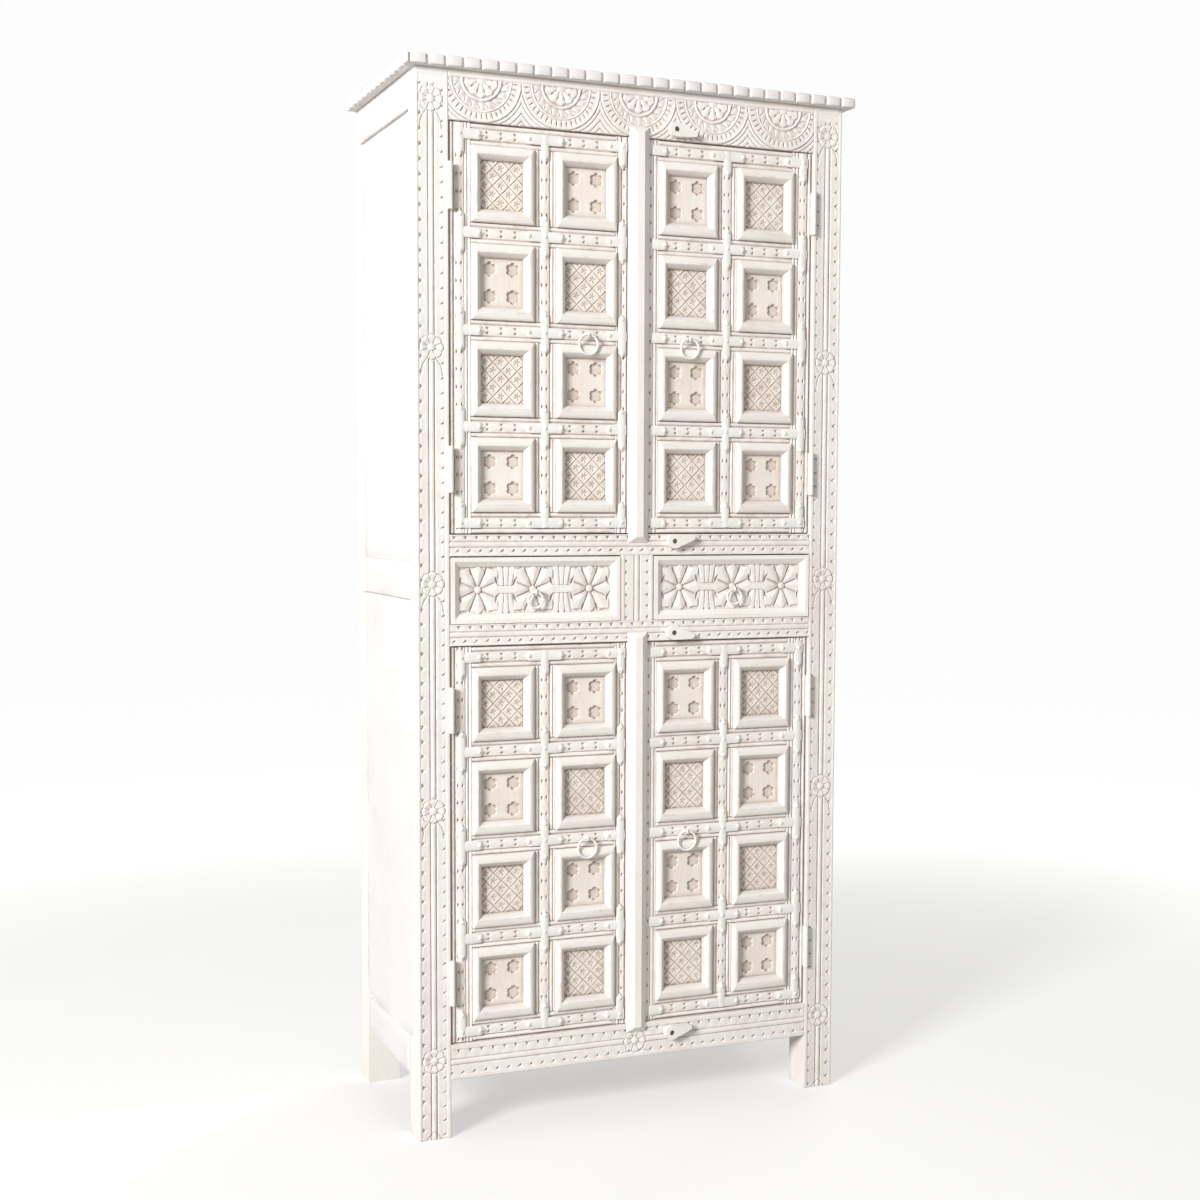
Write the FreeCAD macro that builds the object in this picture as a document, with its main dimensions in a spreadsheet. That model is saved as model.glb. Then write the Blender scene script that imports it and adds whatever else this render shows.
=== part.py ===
import FreeCAD, Part
import math
import os
import re
import Sketcher

os.makedirs("parts", exist_ok=True)

# A carved two-part cupboard: two doors above, two drawers, two doors below.
# Millimetres, +X to the right, +Z up, front towards -Y, origin at the middle of the footprint.

doc = FreeCAD.newDocument("CarvedCupboard")
sizes = doc.addObject("Spreadsheet::Sheet", "sizes")

SIZES = {
    # case
    "case_width": 788,
    "case_depth": 390,
    "leg_height": 100,
    "bottom_rail_height": 60,
    "door_opening_height": 678,
    "middle_rail_height": 36,
    "drawer_opening_height": 114,
    "frieze_height": 81,
    "front_post_width": 56,
    "front_post_depth": 60,
    "rear_post_width": 58,
    "rear_post_depth": 50,
    "outer_rail_thickness": 24,
    "middle_rail_thickness": 30,
    "divider_width": 60,
    "divider_depth": 60,
    # top board
    "top_thickness": 17,
    "top_overhang": 18,
    "notch_width": 4,
    "notch_depth": 4.5,
    "notch_pitch": 30.4,
    "first_notch": 4.5,
    # side walls and back
    "side_rail_thickness": 20,
    "side_bottom_rail_rise": 2,
    "side_bottom_rail_height": 60,
    "side_middle_rail_rise": 41,
    "side_middle_rail_height": 62,
    "side_top_rail_height": 61,
    "side_panel_thickness": 8,
    "side_panel_recess": 6,
    "front_rebate_width": 20,
    "rear_rebate_width": 26,
    "back_rail_thickness": 18,
    "back_panel_thickness": 8,
    "back_panel_recess": 5,
    # boards inside
    "board_thickness": 16,
    "cleat_width": 18,
    "cleat_height": 22,
    "guide_height": 24,
    # doors
    "door_thickness": 24,
    "door_recess": 4,
    "door_end_gap": 2,
    "hinge_gap": 3,
    "meeting_gap": 2.5,
    "outer_stile_width": 36.5,
    "meeting_margin": 40,
    "muntin_width": 40.5,
    "door_end_rail_height": 35.5,
    "door_rail_height": 35,
    "moulding_seat_depth": 4,
    "moulding_rise": 8,
    "moulding_edge_rise": 7,
    "moulding_slope_side": 7.5,
    "moulding_slope_end": 12.25,
    "moulding_crest_flat": 1.5,
    "moulding_border_side": 17.5,
    "moulding_border_end": 22.25,
    "inset_thickness": 10,
    # cover strips over the meeting of the doors
    "cover_width": 37,
    "cover_offset": 0.5,
    "cover_rise": 14,
    "cover_bevel": 12,
    "cover_end_bevel": 10,
    "cover_top_lap": 16,
    "cover_bottom_lap": 14.5,
    "front_clearance": 0.5,
    # drawers
    "drawer_gap": 2,
    "drawer_running_gap": 0.3,
    "drawer_proud": 1,
    "drawer_border": 16,
    "drawer_front_thickness": 20,
    "drawer_bevel": 9,
    "drawer_panel_recess": 7,
    "drawer_panel_thickness": 10,
    "drawer_wall": 12,
    "drawer_floor": 6,
    "drawer_floor_lift": 8,
    "drawer_box_drop": 22,
    "drawer_back_gap": 12,
    # iron straps and rivets
    "strap_width": 17,
    "strap_upright_width": 14,
    "strap_thickness": 2,
    "strap_tip_length": 10,
    "rivet_radius": 3.3,
    "rivet_height": 2.6,
    "stile_strap_inset": 17,
    "stile_bar_reach": 37.5,
    "stile_arm_reach": 41,
    "stile_rivet_reach": 32,
    "bar_rivet_reach": 29,
    "cross_reach": 37,
    "meeting_strap_inset": 9,
    "meeting_arm_reach": 31.5,
    "meeting_rivet_reach": 23.5,
    "short_strap_start": 27,
    "short_strap_reach": 31,
    "short_rivet_reach": 23,
    # rings and their staples
    "door_ring_radius": 17,
    "drawer_ring_radius": 13.5,
    "ring_wire_radius": 2,
    "staple_wire_radius": 1.2,
    "staple_clearance": 0.6,
    "staple_shank_radius": 2.4,
    "door_staple_reach": 11,
    "drawer_staple_reach": 7,
    "drawer_ring_rise": 52.5,
    "drawer_ring_centre": 187,
    # hinges
    "hinge_length": 75,
    "hinge_end_distance": 107.5,
    "knuckle_radius": 4.5,
    "knuckle_gap": 0.3,
    "knuckle_count": 5,
    "hinge_leaf_thickness": 1.2,
    "hinge_leaf_depth": 26,
    "pin_radius": 2.5,
    "pin_clearance": 0.1,
    "pin_head_radius": 3.6,
    "pin_head_height": 1.5,
    # turn latches
    "latch_thickness": 12,
    "latch_hub_radius": 12.5,
    "latch_tip_radius": 5,
    "latch_reach": 34,
    "latch_bore_radius": 2.6,
    "latch_sink_radius": 4.5,
    "latch_sink_depth": 5,
    "latch_turn": 80,
    "latch_offset": 66,
    "screw_shank_radius": 2.3,
    "screw_head_radius": 4.1,
    "screw_head_height": 3,
    "frieze_latch_rise": 16,
    "upper_rail_latch_drop": 12,
    "lower_rail_latch_rise": 14,
    "bottom_rail_latch_drop": 21,
}

# Places that follow from the sizes, measured from the middle of the footprint.
PLACES = {
    "half_case": "case_width / 2",
    "half_opening": "case_width / 2 - front_post_width",
    "half_rear_opening": "case_width / 2 - rear_post_width",
    "front_plane": "(top_overhang - case_depth) / 2",
    "back_plane": "front_plane + case_depth",
    "rear_post_front": "back_plane - rear_post_depth",
    "front_post_back": "front_plane + front_post_depth",
    "lower_door_start": "leg_height + bottom_rail_height",
    "lower_door_end": "lower_door_start + door_opening_height",
    "drawer_start": "lower_door_end + middle_rail_height",
    "drawer_end": "drawer_start + drawer_opening_height",
    "upper_door_start": "drawer_end + middle_rail_height",
    "upper_door_end": "upper_door_start + door_opening_height",
    "post_height": "upper_door_end + frieze_height",
    "half_top": "half_case + top_overhang",
    "top_front": "front_plane - top_overhang",
    "side_bottom_rail_start": "leg_height + side_bottom_rail_rise",
    "side_middle_rail_start": "drawer_start + side_middle_rail_rise",
    "side_bottom_rail_end": "side_bottom_rail_start + side_bottom_rail_height",
    "side_middle_rail_end": "side_middle_rail_start + side_middle_rail_height",
    "side_top_rail_start": "post_height - side_top_rail_height",
    "side_panel_outside": "half_case - side_panel_recess",
    "side_panel_inside": "side_panel_outside - side_panel_thickness",
    "side_panel_front": "front_post_back - front_rebate_width",
    "side_panel_back": "rear_post_front + rear_rebate_width",
    "back_rail_front": "back_plane - back_rail_thickness",
    "lower_shelf_end": "lower_door_start + door_opening_height / 2",
    "upper_shelf_end": "upper_door_start + door_opening_height / 2",
    "door_front": "front_plane + door_recess",
    "door_back": "door_front + door_thickness",
    "door_edge": "half_opening - hinge_gap",
    "cover_left": "cover_offset - cover_width / 2",
    "cover_right": "cover_offset + cover_width / 2",
    "left_meeting_edge": "meeting_gap - cover_left",
    "outer_panel_edge": "door_edge - outer_stile_width",
    "door_panel_width": "(outer_panel_edge - meeting_margin - muntin_width) / 2",
    "muntin_start": "meeting_margin + door_panel_width",
    "muntin_end": "muntin_start + muntin_width",
    "door_height": "door_opening_height - 2 * door_end_gap",
    "door_panel_height": "(door_height - 2 * door_end_rail_height - 3 * door_rail_height) / 4",
    "moulding_back": "door_front + moulding_seat_depth",
    "moulding_crest": "door_front - moulding_rise",
    "moulding_edge": "door_front - moulding_edge_rise",
    "hinge_line": "half_opening - hinge_gap / 2",
    "hinge_front": "front_plane - knuckle_radius - knuckle_gap",
    "leaf_front": "hinge_front + knuckle_radius + knuckle_gap",
    "pin_bore_radius": "pin_radius + pin_clearance",
    "knuckle_pitch": "hinge_length / knuckle_count",
    "lap_front": "front_plane - front_clearance",
    "cover_front": "door_front - cover_rise",
    "staple_loop_radius": "ring_wire_radius + staple_clearance + staple_wire_radius",
    "drawer_front": "front_plane - drawer_proud",
    "drawer_front_back": "drawer_front + drawer_front_thickness",
    "drawer_panel_front": "drawer_front + drawer_panel_recess",
    "drawer_near": "divider_width / 2 + drawer_gap",
    "drawer_far": "half_opening - drawer_gap",
    "drawer_box_back": "back_rail_front - drawer_back_gap",
    "latch_front": "lap_front - latch_thickness",
}

for row, (alias, number) in enumerate(SIZES.items(), start=1):
    sizes.set("A%d" % row, alias)
    sizes.set("B%d" % row, str(number))
    sizes.setAlias("B%d" % row, alias)
doc.recompute()


def formula(text, owner="sizes."):
    """A formula in the words above, written out in the sheet's own aliases."""
    def written_out(match):
        word = match.group(0)
        if word in PLACES:
            return "(" + formula(PLACES[word], owner) + ")"
        if word in SIZES:
            return owner + word
        return word
    return re.sub(r"[a-z][a-z_]*", written_out, str(text))


def worth(text):
    """The number that a formula comes to, for shapes made from outlines."""
    return float(sizes.evalExpression(formula(text, "")))


def bind(thing, **formulas):
    for name, text in formulas.items():
        thing.setExpression(name, formula(text))


def place(thing, x="0", y="0", z="0"):
    thing.setExpression("Placement.Base.x", formula(x))
    thing.setExpression("Placement.Base.y", formula(y))
    thing.setExpression("Placement.Base.z", formula(z))


def block(x0, x1, y0, y1, z0, z1):
    """A rectangular bar between two places on each axis."""
    bar = doc.addObject("Part::Box", "bar")
    bind(bar, Length=f"({x1}) - ({x0})", Width=f"({y1}) - ({y0})", Height=f"({z1}) - ({z0})")
    place(bar, x0, y0, z0)
    return bar


def side_block(side, near, far, y0, y1, z0, z1):
    """A bar given by its distances from the middle, on the left (-1) or the right (1)."""
    if side > 0:
        return block(near, far, y0, y1, z0, z1)
    return block(f"-({far})", f"-({near})", y0, y1, z0, z1)


def taper(x0, x1, y0, y1, z0, z1, side_slope, end_slope):
    """A bar whose front face is smaller than its back by a slope on each edge."""
    wedge = doc.addObject("Part::Wedge", "taper")
    bind(wedge, Ymin="0", Ymax=f"({y1}) - ({y0})", X2min="0", X2max=f"({x1}) - ({x0})",
         Z2min="0", Z2max=f"({z1}) - ({z0})", Xmin=side_slope, Xmax=f"({x1}) - ({x0}) - ({side_slope})",
         Zmin=end_slope, Zmax=f"({z1}) - ({z0}) - ({end_slope})")
    place(wedge, x0, y0, z0)
    return wedge


def rod(radius, length, x, y, z, axis="z"):
    """A round bar that starts at a place and runs along an axis."""
    bar = doc.addObject("Part::Cylinder", "rod")
    bind(bar, Radius=radius, Height=length)
    turn = {"z": FreeCAD.Rotation(), "y": FreeCAD.Rotation(FreeCAD.Vector(1, 0, 0), -90)}[axis]
    bar.Placement = FreeCAD.Placement(FreeCAD.Vector(), turn)
    place(bar, x, y, z)
    return bar


def hoop(radius, wire_radius, x, y, z, axis):
    """A closed round ring about a horizontal axis."""
    loop = doc.addObject("Part::Torus", "hoop")
    bind(loop, Radius1=radius, Radius2=wire_radius)
    turn = {"x": FreeCAD.Rotation(FreeCAD.Vector(0, 1, 0), 90),
            "y": FreeCAD.Rotation(FreeCAD.Vector(1, 0, 0), 90)}[axis]
    loop.Placement = FreeCAD.Placement(FreeCAD.Vector(), turn)
    place(loop, x, y, z)
    return loop


def cut(base, *tools):
    result = doc.addObject("Part::Cut", "cut")
    result.Base = base
    result.Tool = tools[0] if len(tools) == 1 else fuse(*tools)
    return result


def fuse(*things):
    result = doc.addObject("Part::MultiFuse", "fused")
    result.Shapes = list(things)
    return result


def solid(shape):
    """A piece whose outline is drawn with lines and arcs."""
    feature = doc.addObject("Part::Feature", "outline")
    feature.Shape = shape
    return feature


NODES = {}


def node(label, *things):
    """One named sub-part: a single piece, or a group of separate like pieces."""
    if len(things) == 1:
        result = things[0]
    else:
        result = doc.addObject("Part::Compound", "group")
        result.Links = list(things)
    result.Label = label
    NODES[label] = result
    return result


# Case

def front_post(side):
    post = side_block(side, "half_opening", "half_case", "front_plane", "front_post_back", "0", "post_height")
    rebate = side_block(side, "side_panel_inside", "half_case", "side_panel_front", "front_post_back",
                        "side_bottom_rail_end", "side_middle_rail_start")
    upper_rebate = side_block(side, "side_panel_inside", "half_case", "side_panel_front", "front_post_back",
                              "side_middle_rail_end", "side_top_rail_start")
    return cut(post, rebate, upper_rebate)


def rear_post(side):
    post = side_block(side, "half_rear_opening", "half_case", "rear_post_front", "back_plane", "0", "post_height")
    rebate = side_block(side, "side_panel_inside", "half_case", "rear_post_front", "side_panel_back",
                        "side_bottom_rail_end", "side_middle_rail_start")
    upper_rebate = side_block(side, "side_panel_inside", "half_case", "rear_post_front", "side_panel_back",
                              "side_middle_rail_end", "side_top_rail_start")
    return cut(post, rebate, upper_rebate)


def origin_plane(body, role):
    return [feature for feature in body.Origin.OriginFeatures if feature.Role == role][0]


def rectangle_sketch(body, name, formulas):
    """A rectangle on the body's ground plane, with its four sides bound to the sheet."""
    sketch = body.newObject("Sketcher::SketchObject", name)
    sketch.AttachmentSupport = (origin_plane(body, "XY_Plane"), [""])
    sketch.MapMode = "FlatFace"
    corners = [FreeCAD.Vector(-1, -1, 0), FreeCAD.Vector(1, -1, 0), FreeCAD.Vector(1, 1, 0), FreeCAD.Vector(-1, 1, 0)]
    for index in range(4):
        sketch.addGeometry(Part.LineSegment(corners[index], corners[(index + 1) % 4]), False)
    for index in range(4):
        sketch.addConstraint(Sketcher.Constraint("Coincident", index, 2, (index + 1) % 4, 1))
    for index in (0, 2):
        sketch.addConstraint(Sketcher.Constraint("Horizontal", index))
    for index in (1, 3):
        sketch.addConstraint(Sketcher.Constraint("Vertical", index))
    left, right, front, back = formulas
    places = (("DistanceX", 0, 1, left), ("DistanceX", 0, 2, right), ("DistanceY", 0, 1, front), ("DistanceY", 2, 1, back))
    for kind, line, point, text in places:
        number = sketch.addConstraint(Sketcher.Constraint(kind, -1, 1, line, point, worth(text)))
        sketch.setExpression("Constraints[%d]" % number, formula(text))
    return sketch


def notch_row(body, name, formulas, role, run):
    """Notches cut through the board's edge and repeated along it."""
    pocket = body.newObject("PartDesign::Pocket", name)
    pocket.Profile = rectangle_sketch(body, name + "Sketch", formulas)
    pocket.Type = "ThroughAll"
    pocket.Midplane = True
    doc.recompute()
    row = body.newObject("PartDesign::LinearPattern", name + "Row")
    row.Originals = [pocket]
    row.Direction = (origin_plane(body, role), [""])
    count = int(worth(f"({run}) / notch_pitch + 1"))
    row.Occurrences = count
    row.setExpression("Length", formula("notch_pitch") + " * %d" % (count - 1))
    body.Tip = row
    doc.recompute()
    return row


def top_board():
    body = doc.addObject("PartDesign::Body", "TopBoard")
    board = body.newObject("PartDesign::Pad", "Board")
    board.Profile = rectangle_sketch(body, "BoardSketch", ("-half_top", "half_top", "top_front", "back_plane"))
    board.setExpression("Length", formula("top_thickness"))
    doc.recompute()
    reach = "notch_depth"
    notch_row(body, "FrontNotch",
              ("first_notch - half_top - notch_width / 2", "first_notch - half_top + notch_width / 2",
               f"top_front - {reach}", f"top_front + {reach}"), "X_Axis", "2 * half_top - 2 * first_notch")
    for side, name in ((-1, "LeftNotch"), (1, "RightNotch")):
        edge = "-half_top" if side < 0 else "half_top"
        notch_row(body, name, (f"{edge} - {reach}", f"{edge} + {reach}",
                               "top_front + notch_pitch", "top_front + notch_pitch + notch_width"),
                  "Y_Axis", "back_plane - top_front - 2 * notch_pitch")
    place(body, z="post_height")
    return body


def front_rail(y1, z0, z1):
    return block("-half_opening", "half_opening", "front_plane", y1, z0, z1)


def side_rails(side):
    rails = []
    for z0, z1 in (("side_bottom_rail_start", "side_bottom_rail_end"),
                   ("side_middle_rail_start", "side_middle_rail_end"), ("side_top_rail_start", "post_height")):
        rails.append(side_block(side, "half_case - side_rail_thickness", "half_case", "front_post_back",
                                "rear_post_front", z0, z1))
    return rails


PANEL_HEIGHTS = (("side_bottom_rail_end", "side_middle_rail_start"), ("side_middle_rail_end", "side_top_rail_start"))


def side_panels(side):
    return [side_block(side, "side_panel_inside", "side_panel_outside", "side_panel_front", "side_panel_back", z0, z1)
            for z0, z1 in PANEL_HEIGHTS]


def back_rail(z0, z1):
    return block("-half_rear_opening", "half_rear_opening", "back_rail_front", "back_plane", z0, z1)


def back_panel(z0, z1):
    return block("-half_rear_opening", "half_rear_opening", "back_plane - back_panel_recess - back_panel_thickness",
                 "back_plane - back_panel_recess", z0, z1)


def inner_board(front, half_width, top):
    """A level board with its corners notched round the posts."""
    bottom = f"{top} - board_thickness"
    board = block(f"-({half_width})", half_width, front, "back_rail_front", bottom, top)
    corners = []
    for side in (-1, 1):
        corners.append(side_block(side, "half_opening", "half_case", "front_plane", "front_post_back", bottom, top))
        corners.append(side_block(side, "half_rear_opening", "half_case", "rear_post_front", "back_plane", bottom, top))
    return cut(board, *corners)


def cleat(side, top):
    return side_block(side, "side_panel_inside - cleat_width", "side_panel_inside", "front_post_back",
                      "rear_post_front", f"{top} - cleat_height", top)


def drawer_guides():
    """Battens on the board under the drawers that keep each drawer square."""
    middle = block("-(drawer_near - drawer_gap)", "drawer_near - drawer_gap", "front_plane + divider_depth",
                   "back_rail_front", "drawer_start", "drawer_start + guide_height")
    outer = [side_block(side, "half_opening", "side_panel_inside", "front_post_back", "rear_post_front",
                        "drawer_start", "drawer_start + guide_height") for side in (-1, 1)]
    return [middle] + outer


# Hinges

def hinge_bottoms():
    """Bottom places of the two hinges of each door, lower doors first."""
    places = []
    for start in ("lower_door_start", "upper_door_start"):
        places.append((start, f"{start} + hinge_end_distance - hinge_length / 2"))
        places.append((start, f"{start} + door_opening_height - hinge_end_distance - hinge_length / 2"))
    return places


def knuckle(side, bottom, index):
    start = f"{bottom} + knuckle_pitch * {index}"
    if index:
        start += " + knuckle_gap"
    return rod("knuckle_radius", f"{bottom} + knuckle_pitch * {index + 1} - ({start})",
               f"{side} * hinge_line", "hinge_front", start)


def hinge_leaf(side, bottom, near, far, indexes):
    """A plate in the joint between door and post, with the knuckles that it carries."""
    plate = side_block(side, near, far, "leaf_front", "hinge_front + hinge_leaf_depth", bottom,
                       f"{bottom} + hinge_length")
    parts = [plate]
    for index in indexes:
        parts.append(knuckle(side, bottom, index))
        start = f"{bottom} + knuckle_pitch * {index}"
        tab_start = f"{start} + knuckle_gap" if index else start
        parts.append(side_block(side, near, far, "hinge_front", "leaf_front + hinge_leaf_thickness", tab_start,
                                f"{bottom} + knuckle_pitch * {index + 1}"))
    bore = rod("pin_bore_radius", "hinge_length", f"{side} * hinge_line", "hinge_front", bottom)
    return cut(fuse(*parts), bore)


def post_leaf(side, bottom):
    return hinge_leaf(side, bottom, "half_opening - hinge_leaf_thickness", "half_opening", range(0, SIZES["knuckle_count"], 2))


def door_leaf(side, bottom):
    return hinge_leaf(side, bottom, "door_edge", "door_edge + hinge_leaf_thickness", range(1, SIZES["knuckle_count"], 2))


def hinge_pin(side, bottom):
    pin = rod("pin_radius", "hinge_length", f"{side} * hinge_line", "hinge_front", bottom)
    head = rod("pin_head_radius", "pin_head_height", f"{side} * hinge_line", "hinge_front", f"{bottom} + hinge_length")
    return fuse(pin, head)


# Turn latches, each on a screw in the rail beside the right door of its pair

LATCHES = {
    "upper_top_latch": ("upper_door_end + frieze_latch_rise", -1),
    "upper_bottom_latch": ("upper_door_start - upper_rail_latch_drop", 1),
    "lower_top_latch": ("lower_door_end + lower_rail_latch_rise", -1),
    "lower_bottom_latch": ("lower_door_start - bottom_rail_latch_drop", 1),
}


def turn_latch(height, toward_door):
    """A drop-shaped wooden button, drawn pointing at its door and turned aside about its screw."""
    hub, tip, reach = worth("latch_hub_radius"), worth("latch_tip_radius"), worth("latch_reach")
    thickness = worth("latch_thickness")
    lean = math.asin((hub - tip) / reach)
    across, along = math.cos(lean), math.sin(lean)
    point = FreeCAD.Vector
    hub_left, hub_right = point(-hub * across, 0, hub * along), point(hub * across, 0, hub * along)
    tip_left, tip_right = point(-tip * across, 0, reach + tip * along), point(tip * across, 0, reach + tip * along)
    outline = Part.Wire([Part.Arc(hub_left, point(0, 0, -hub), hub_right).toShape(),
                         Part.LineSegment(hub_right, tip_right).toShape(),
                         Part.Arc(tip_right, point(0, 0, reach + tip), tip_left).toShape(),
                         Part.LineSegment(tip_left, hub_left).toShape()])
    button = Part.Face(outline).extrude(point(0, thickness, 0))
    forward = point(0, 1, 0)
    button = button.cut(Part.makeCylinder(worth("latch_bore_radius"), thickness, point(), forward))
    button = button.cut(Part.makeCylinder(worth("latch_sink_radius"), worth("latch_sink_depth"), point(), forward))
    turn = worth("latch_turn") if toward_door > 0 else 180 - worth("latch_turn")
    feature = solid(button)
    feature.Placement = FreeCAD.Placement(point(), FreeCAD.Rotation(forward, turn))
    place(feature, "latch_offset", "latch_front", height)
    return feature


def latch_screw(height):
    """A screw whose head sits sunk in the latch and whose shank ends on the rail."""
    head_front = "latch_front + latch_sink_depth - screw_head_height - knuckle_gap"
    shank = rod("screw_shank_radius", f"front_plane - ({head_front})", "latch_offset", head_front, height, "y")
    head = rod("screw_head_radius", "screw_head_height", "latch_offset", head_front, height, "y")
    return fuse(shank, head)


# Doors

def rail_rows(start):
    """Bottom and top of the five rails of a door, from the lowest up."""
    rows = [(f"{start} + door_end_gap", f"{start} + door_end_gap + door_end_rail_height")]
    for index in range(3):
        bottom = (f"{start} + door_end_gap + door_end_rail_height + door_panel_height * {index + 1}"
                  f" + door_rail_height * {index}")
        rows.append((bottom, f"{bottom} + door_rail_height"))
    top = f"{start} + door_opening_height - door_end_gap"
    rows.append((f"{top} - door_end_rail_height", top))
    return rows


def panel_places(side, start):
    """The eight openings of a door, as near, far, bottom and top."""
    rows = rail_rows(start)
    columns = (("meeting_margin", "muntin_start"), ("muntin_end", "outer_panel_edge"))
    return [(near, far, rows[index][1], rows[index + 1][0]) for index in range(4) for near, far in columns]


def meeting_edge(side):
    return "left_meeting_edge" if side < 0 else "cover_left"


def door_frame(side, start):
    """Two stiles, five rails and four short muntins, jointed edge to edge."""
    rows = rail_rows(start)
    bottom, top = rows[0][0], rows[-1][1]
    members = [side_block(side, "outer_panel_edge", "door_edge", "door_front", "door_back", bottom, top),
               side_block(side, meeting_edge(side), "meeting_margin", "door_front", "door_back", bottom, top)]
    for z0, z1 in rows:
        members.append(side_block(side, "meeting_margin", "outer_panel_edge", "door_front", "door_back", z0, z1))
    for index in range(4):
        members.append(side_block(side, "muntin_start", "muntin_end", "door_front", "door_back",
                                  rows[index][1], rows[index + 1][0]))
    return members


def mirrored(side, near, far):
    return (near, far) if side > 0 else (f"-({far})", f"-({near})")


def panel_moulding(side, near, far, z0, z1):
    """A raised picture-frame moulding: an upright edge, a gentle slope to a crest and a splay down to its inset."""
    x0, x1 = mirrored(side, near, far)
    seat = block(x0, x1, "moulding_edge", "moulding_back", z0, z1)
    raised = taper(x0, x1, "moulding_crest", "moulding_edge", z0, z1, "moulding_slope_side", "moulding_slope_end")
    crest_side = "moulding_slope_side + moulding_crest_flat"
    crest_end = "moulding_slope_end + moulding_crest_flat"
    window = block(f"{x0} + moulding_border_side", f"{x1} - moulding_border_side", "moulding_crest", "moulding_back",
                   f"{z0} + moulding_border_end", f"{z1} - moulding_border_end")
    splay = doc.addObject("Part::Wedge", "splay")
    bind(splay, Ymin="0", Ymax="moulding_back - moulding_crest",
         Xmin=crest_side, Xmax=f"({x1}) - ({x0}) - ({crest_side})",
         Zmin=crest_end, Zmax=f"({z1}) - ({z0}) - ({crest_end})",
         X2min="moulding_border_side", X2max=f"({x1}) - ({x0}) - moulding_border_side",
         Z2min="moulding_border_end", Z2max=f"({z1}) - ({z0}) - moulding_border_end")
    place(splay, x0, "moulding_crest", z0)
    return cut(fuse(seat, raised), window, splay)


def inset_panel(side, near, far, z0, z1):
    return side_block(side, near, far, "moulding_back", "moulding_back + inset_thickness", z0, z1)


def strap_arm(direction, reach):
    """Half a strap, from its square start behind the centre to its shouldered point."""
    width = "strap_upright_width" if direction in (UP, DOWN) else "strap_width"
    half, tip = worth(width) / 2, worth("strap_tip_length")
    point = FreeCAD.Vector
    shoulder_share, waist_share, rise_share = 0.38, 0.54, 0.8
    start, shoulder = point(-half, 0, half), point(reach - tip, 0, half)
    bend = point(reach - tip + tip * shoulder_share, 0, half * rise_share)
    waist = point(reach - tip + tip * waist_share, 0, half * shoulder_share)
    end = point(reach, 0, 0)
    def below(corner):
        return point(corner.x, 0, -corner.z)
    outline = Part.Wire([Part.LineSegment(start, shoulder).toShape(), Part.Arc(shoulder, bend, waist).toShape(),
                         Part.LineSegment(waist, end).toShape(), Part.LineSegment(end, below(waist)).toShape(),
                         Part.Arc(below(waist), below(bend), below(shoulder)).toShape(),
                         Part.LineSegment(below(shoulder), below(start)).toShape(),
                         Part.LineSegment(below(start), start).toShape()])
    arm = Part.Face(outline).extrude(point(0, worth("strap_thickness"), 0))
    arm.rotate(point(), point(0, 1, 0), -direction)
    return arm


def rivet():
    """A low domed head on the strap."""
    radius, height = worth("rivet_radius"), worth("rivet_height")
    ball = (radius * radius + height * height) / (2 * height)
    low = math.degrees(math.asin((ball - height) / ball))
    return Part.makeSphere(ball, FreeCAD.Vector(0, ball - height, 0), FreeCAD.Vector(0, -1, 0), low, 90)


def strap(x, z, arms, rivets):
    """A riveted strap at a crossing: its arms by direction and reach, its rivets by direction and distance."""
    parts = [strap_arm(direction, worth(reach)) for direction, reach in arms]
    shape = parts[0]
    for part in parts[1:]:
        shape = shape.fuse(part)
    shape = shape.removeSplitter()
    pieces = [solid(shape)]
    place(pieces[0], x, "door_front - strap_thickness", z)
    for direction, distance in rivets:
        turn = math.radians(direction)
        head = solid(rivet())
        place(head, f"{x} + ({distance}) * {round(math.cos(turn))}", "door_front - strap_thickness",
              f"{z} + ({distance}) * {round(math.sin(turn))}")
        pieces.append(head)
    return pieces


RIGHT, UP, LEFT, DOWN = 0, 90, 180, 270


def row_centres(start):
    return [f"(({z0}) + ({z1})) / 2" for z0, z1 in rail_rows(start)]


def corner_turns(row):
    """The vertical arms of a strap in a row: both ways in the inner rows, inwards at the ends."""
    return {0: (UP,), 4: (DOWN,)}.get(row, (UP, DOWN))


def stile_strap(side, x, z, row, arm_reach, rivet_reach):
    inward = LEFT if side > 0 else RIGHT
    turns = corner_turns(row)
    arms = [(inward, arm_reach)] + [(turn, "stile_bar_reach") for turn in turns]
    rivets = [(inward, rivet_reach)] + [(turn, "bar_rivet_reach") for turn in turns]
    if len(turns) == 1:
        rivets.append((inward, "0"))
    return strap(x, z, arms, rivets)


def muntin_strap(side, z, row):
    turns = corner_turns(row)
    arms = [(turn, "cross_reach") for turn in (RIGHT, LEFT) + turns]
    rivets = [(turn, "bar_rivet_reach") for turn in (RIGHT, LEFT) + turns]
    if len(turns) == 2:
        rivets.append((RIGHT, "0"))
    return strap(f"{side} * (muntin_start + muntin_end) / 2", z, arms, rivets)


def meeting_strap(side, z, row):
    if side < 0:
        return stile_strap(1, "-(left_meeting_edge + meeting_strap_inset)", z, row, "meeting_arm_reach",
                           "meeting_rivet_reach")
    start = "short_strap_start + strap_width / 2"
    return strap(start, z, [(RIGHT, "short_strap_reach - strap_width / 2")],
                 [(RIGHT, "short_rivet_reach - strap_width / 2")])


def staple(x, face, reach, z):
    """An eye that stands on a short shank and holds a ring."""
    centre = f"{face} - ({reach})"
    loop = hoop("staple_loop_radius", "staple_wire_radius", x, centre, z, "x")
    shank = rod("staple_shank_radius", f"({reach}) - staple_loop_radius + staple_wire_radius / 2", x,
                f"{centre} + staple_loop_radius - staple_wire_radius / 2", z, "y")
    return fuse(loop, shank)


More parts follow.
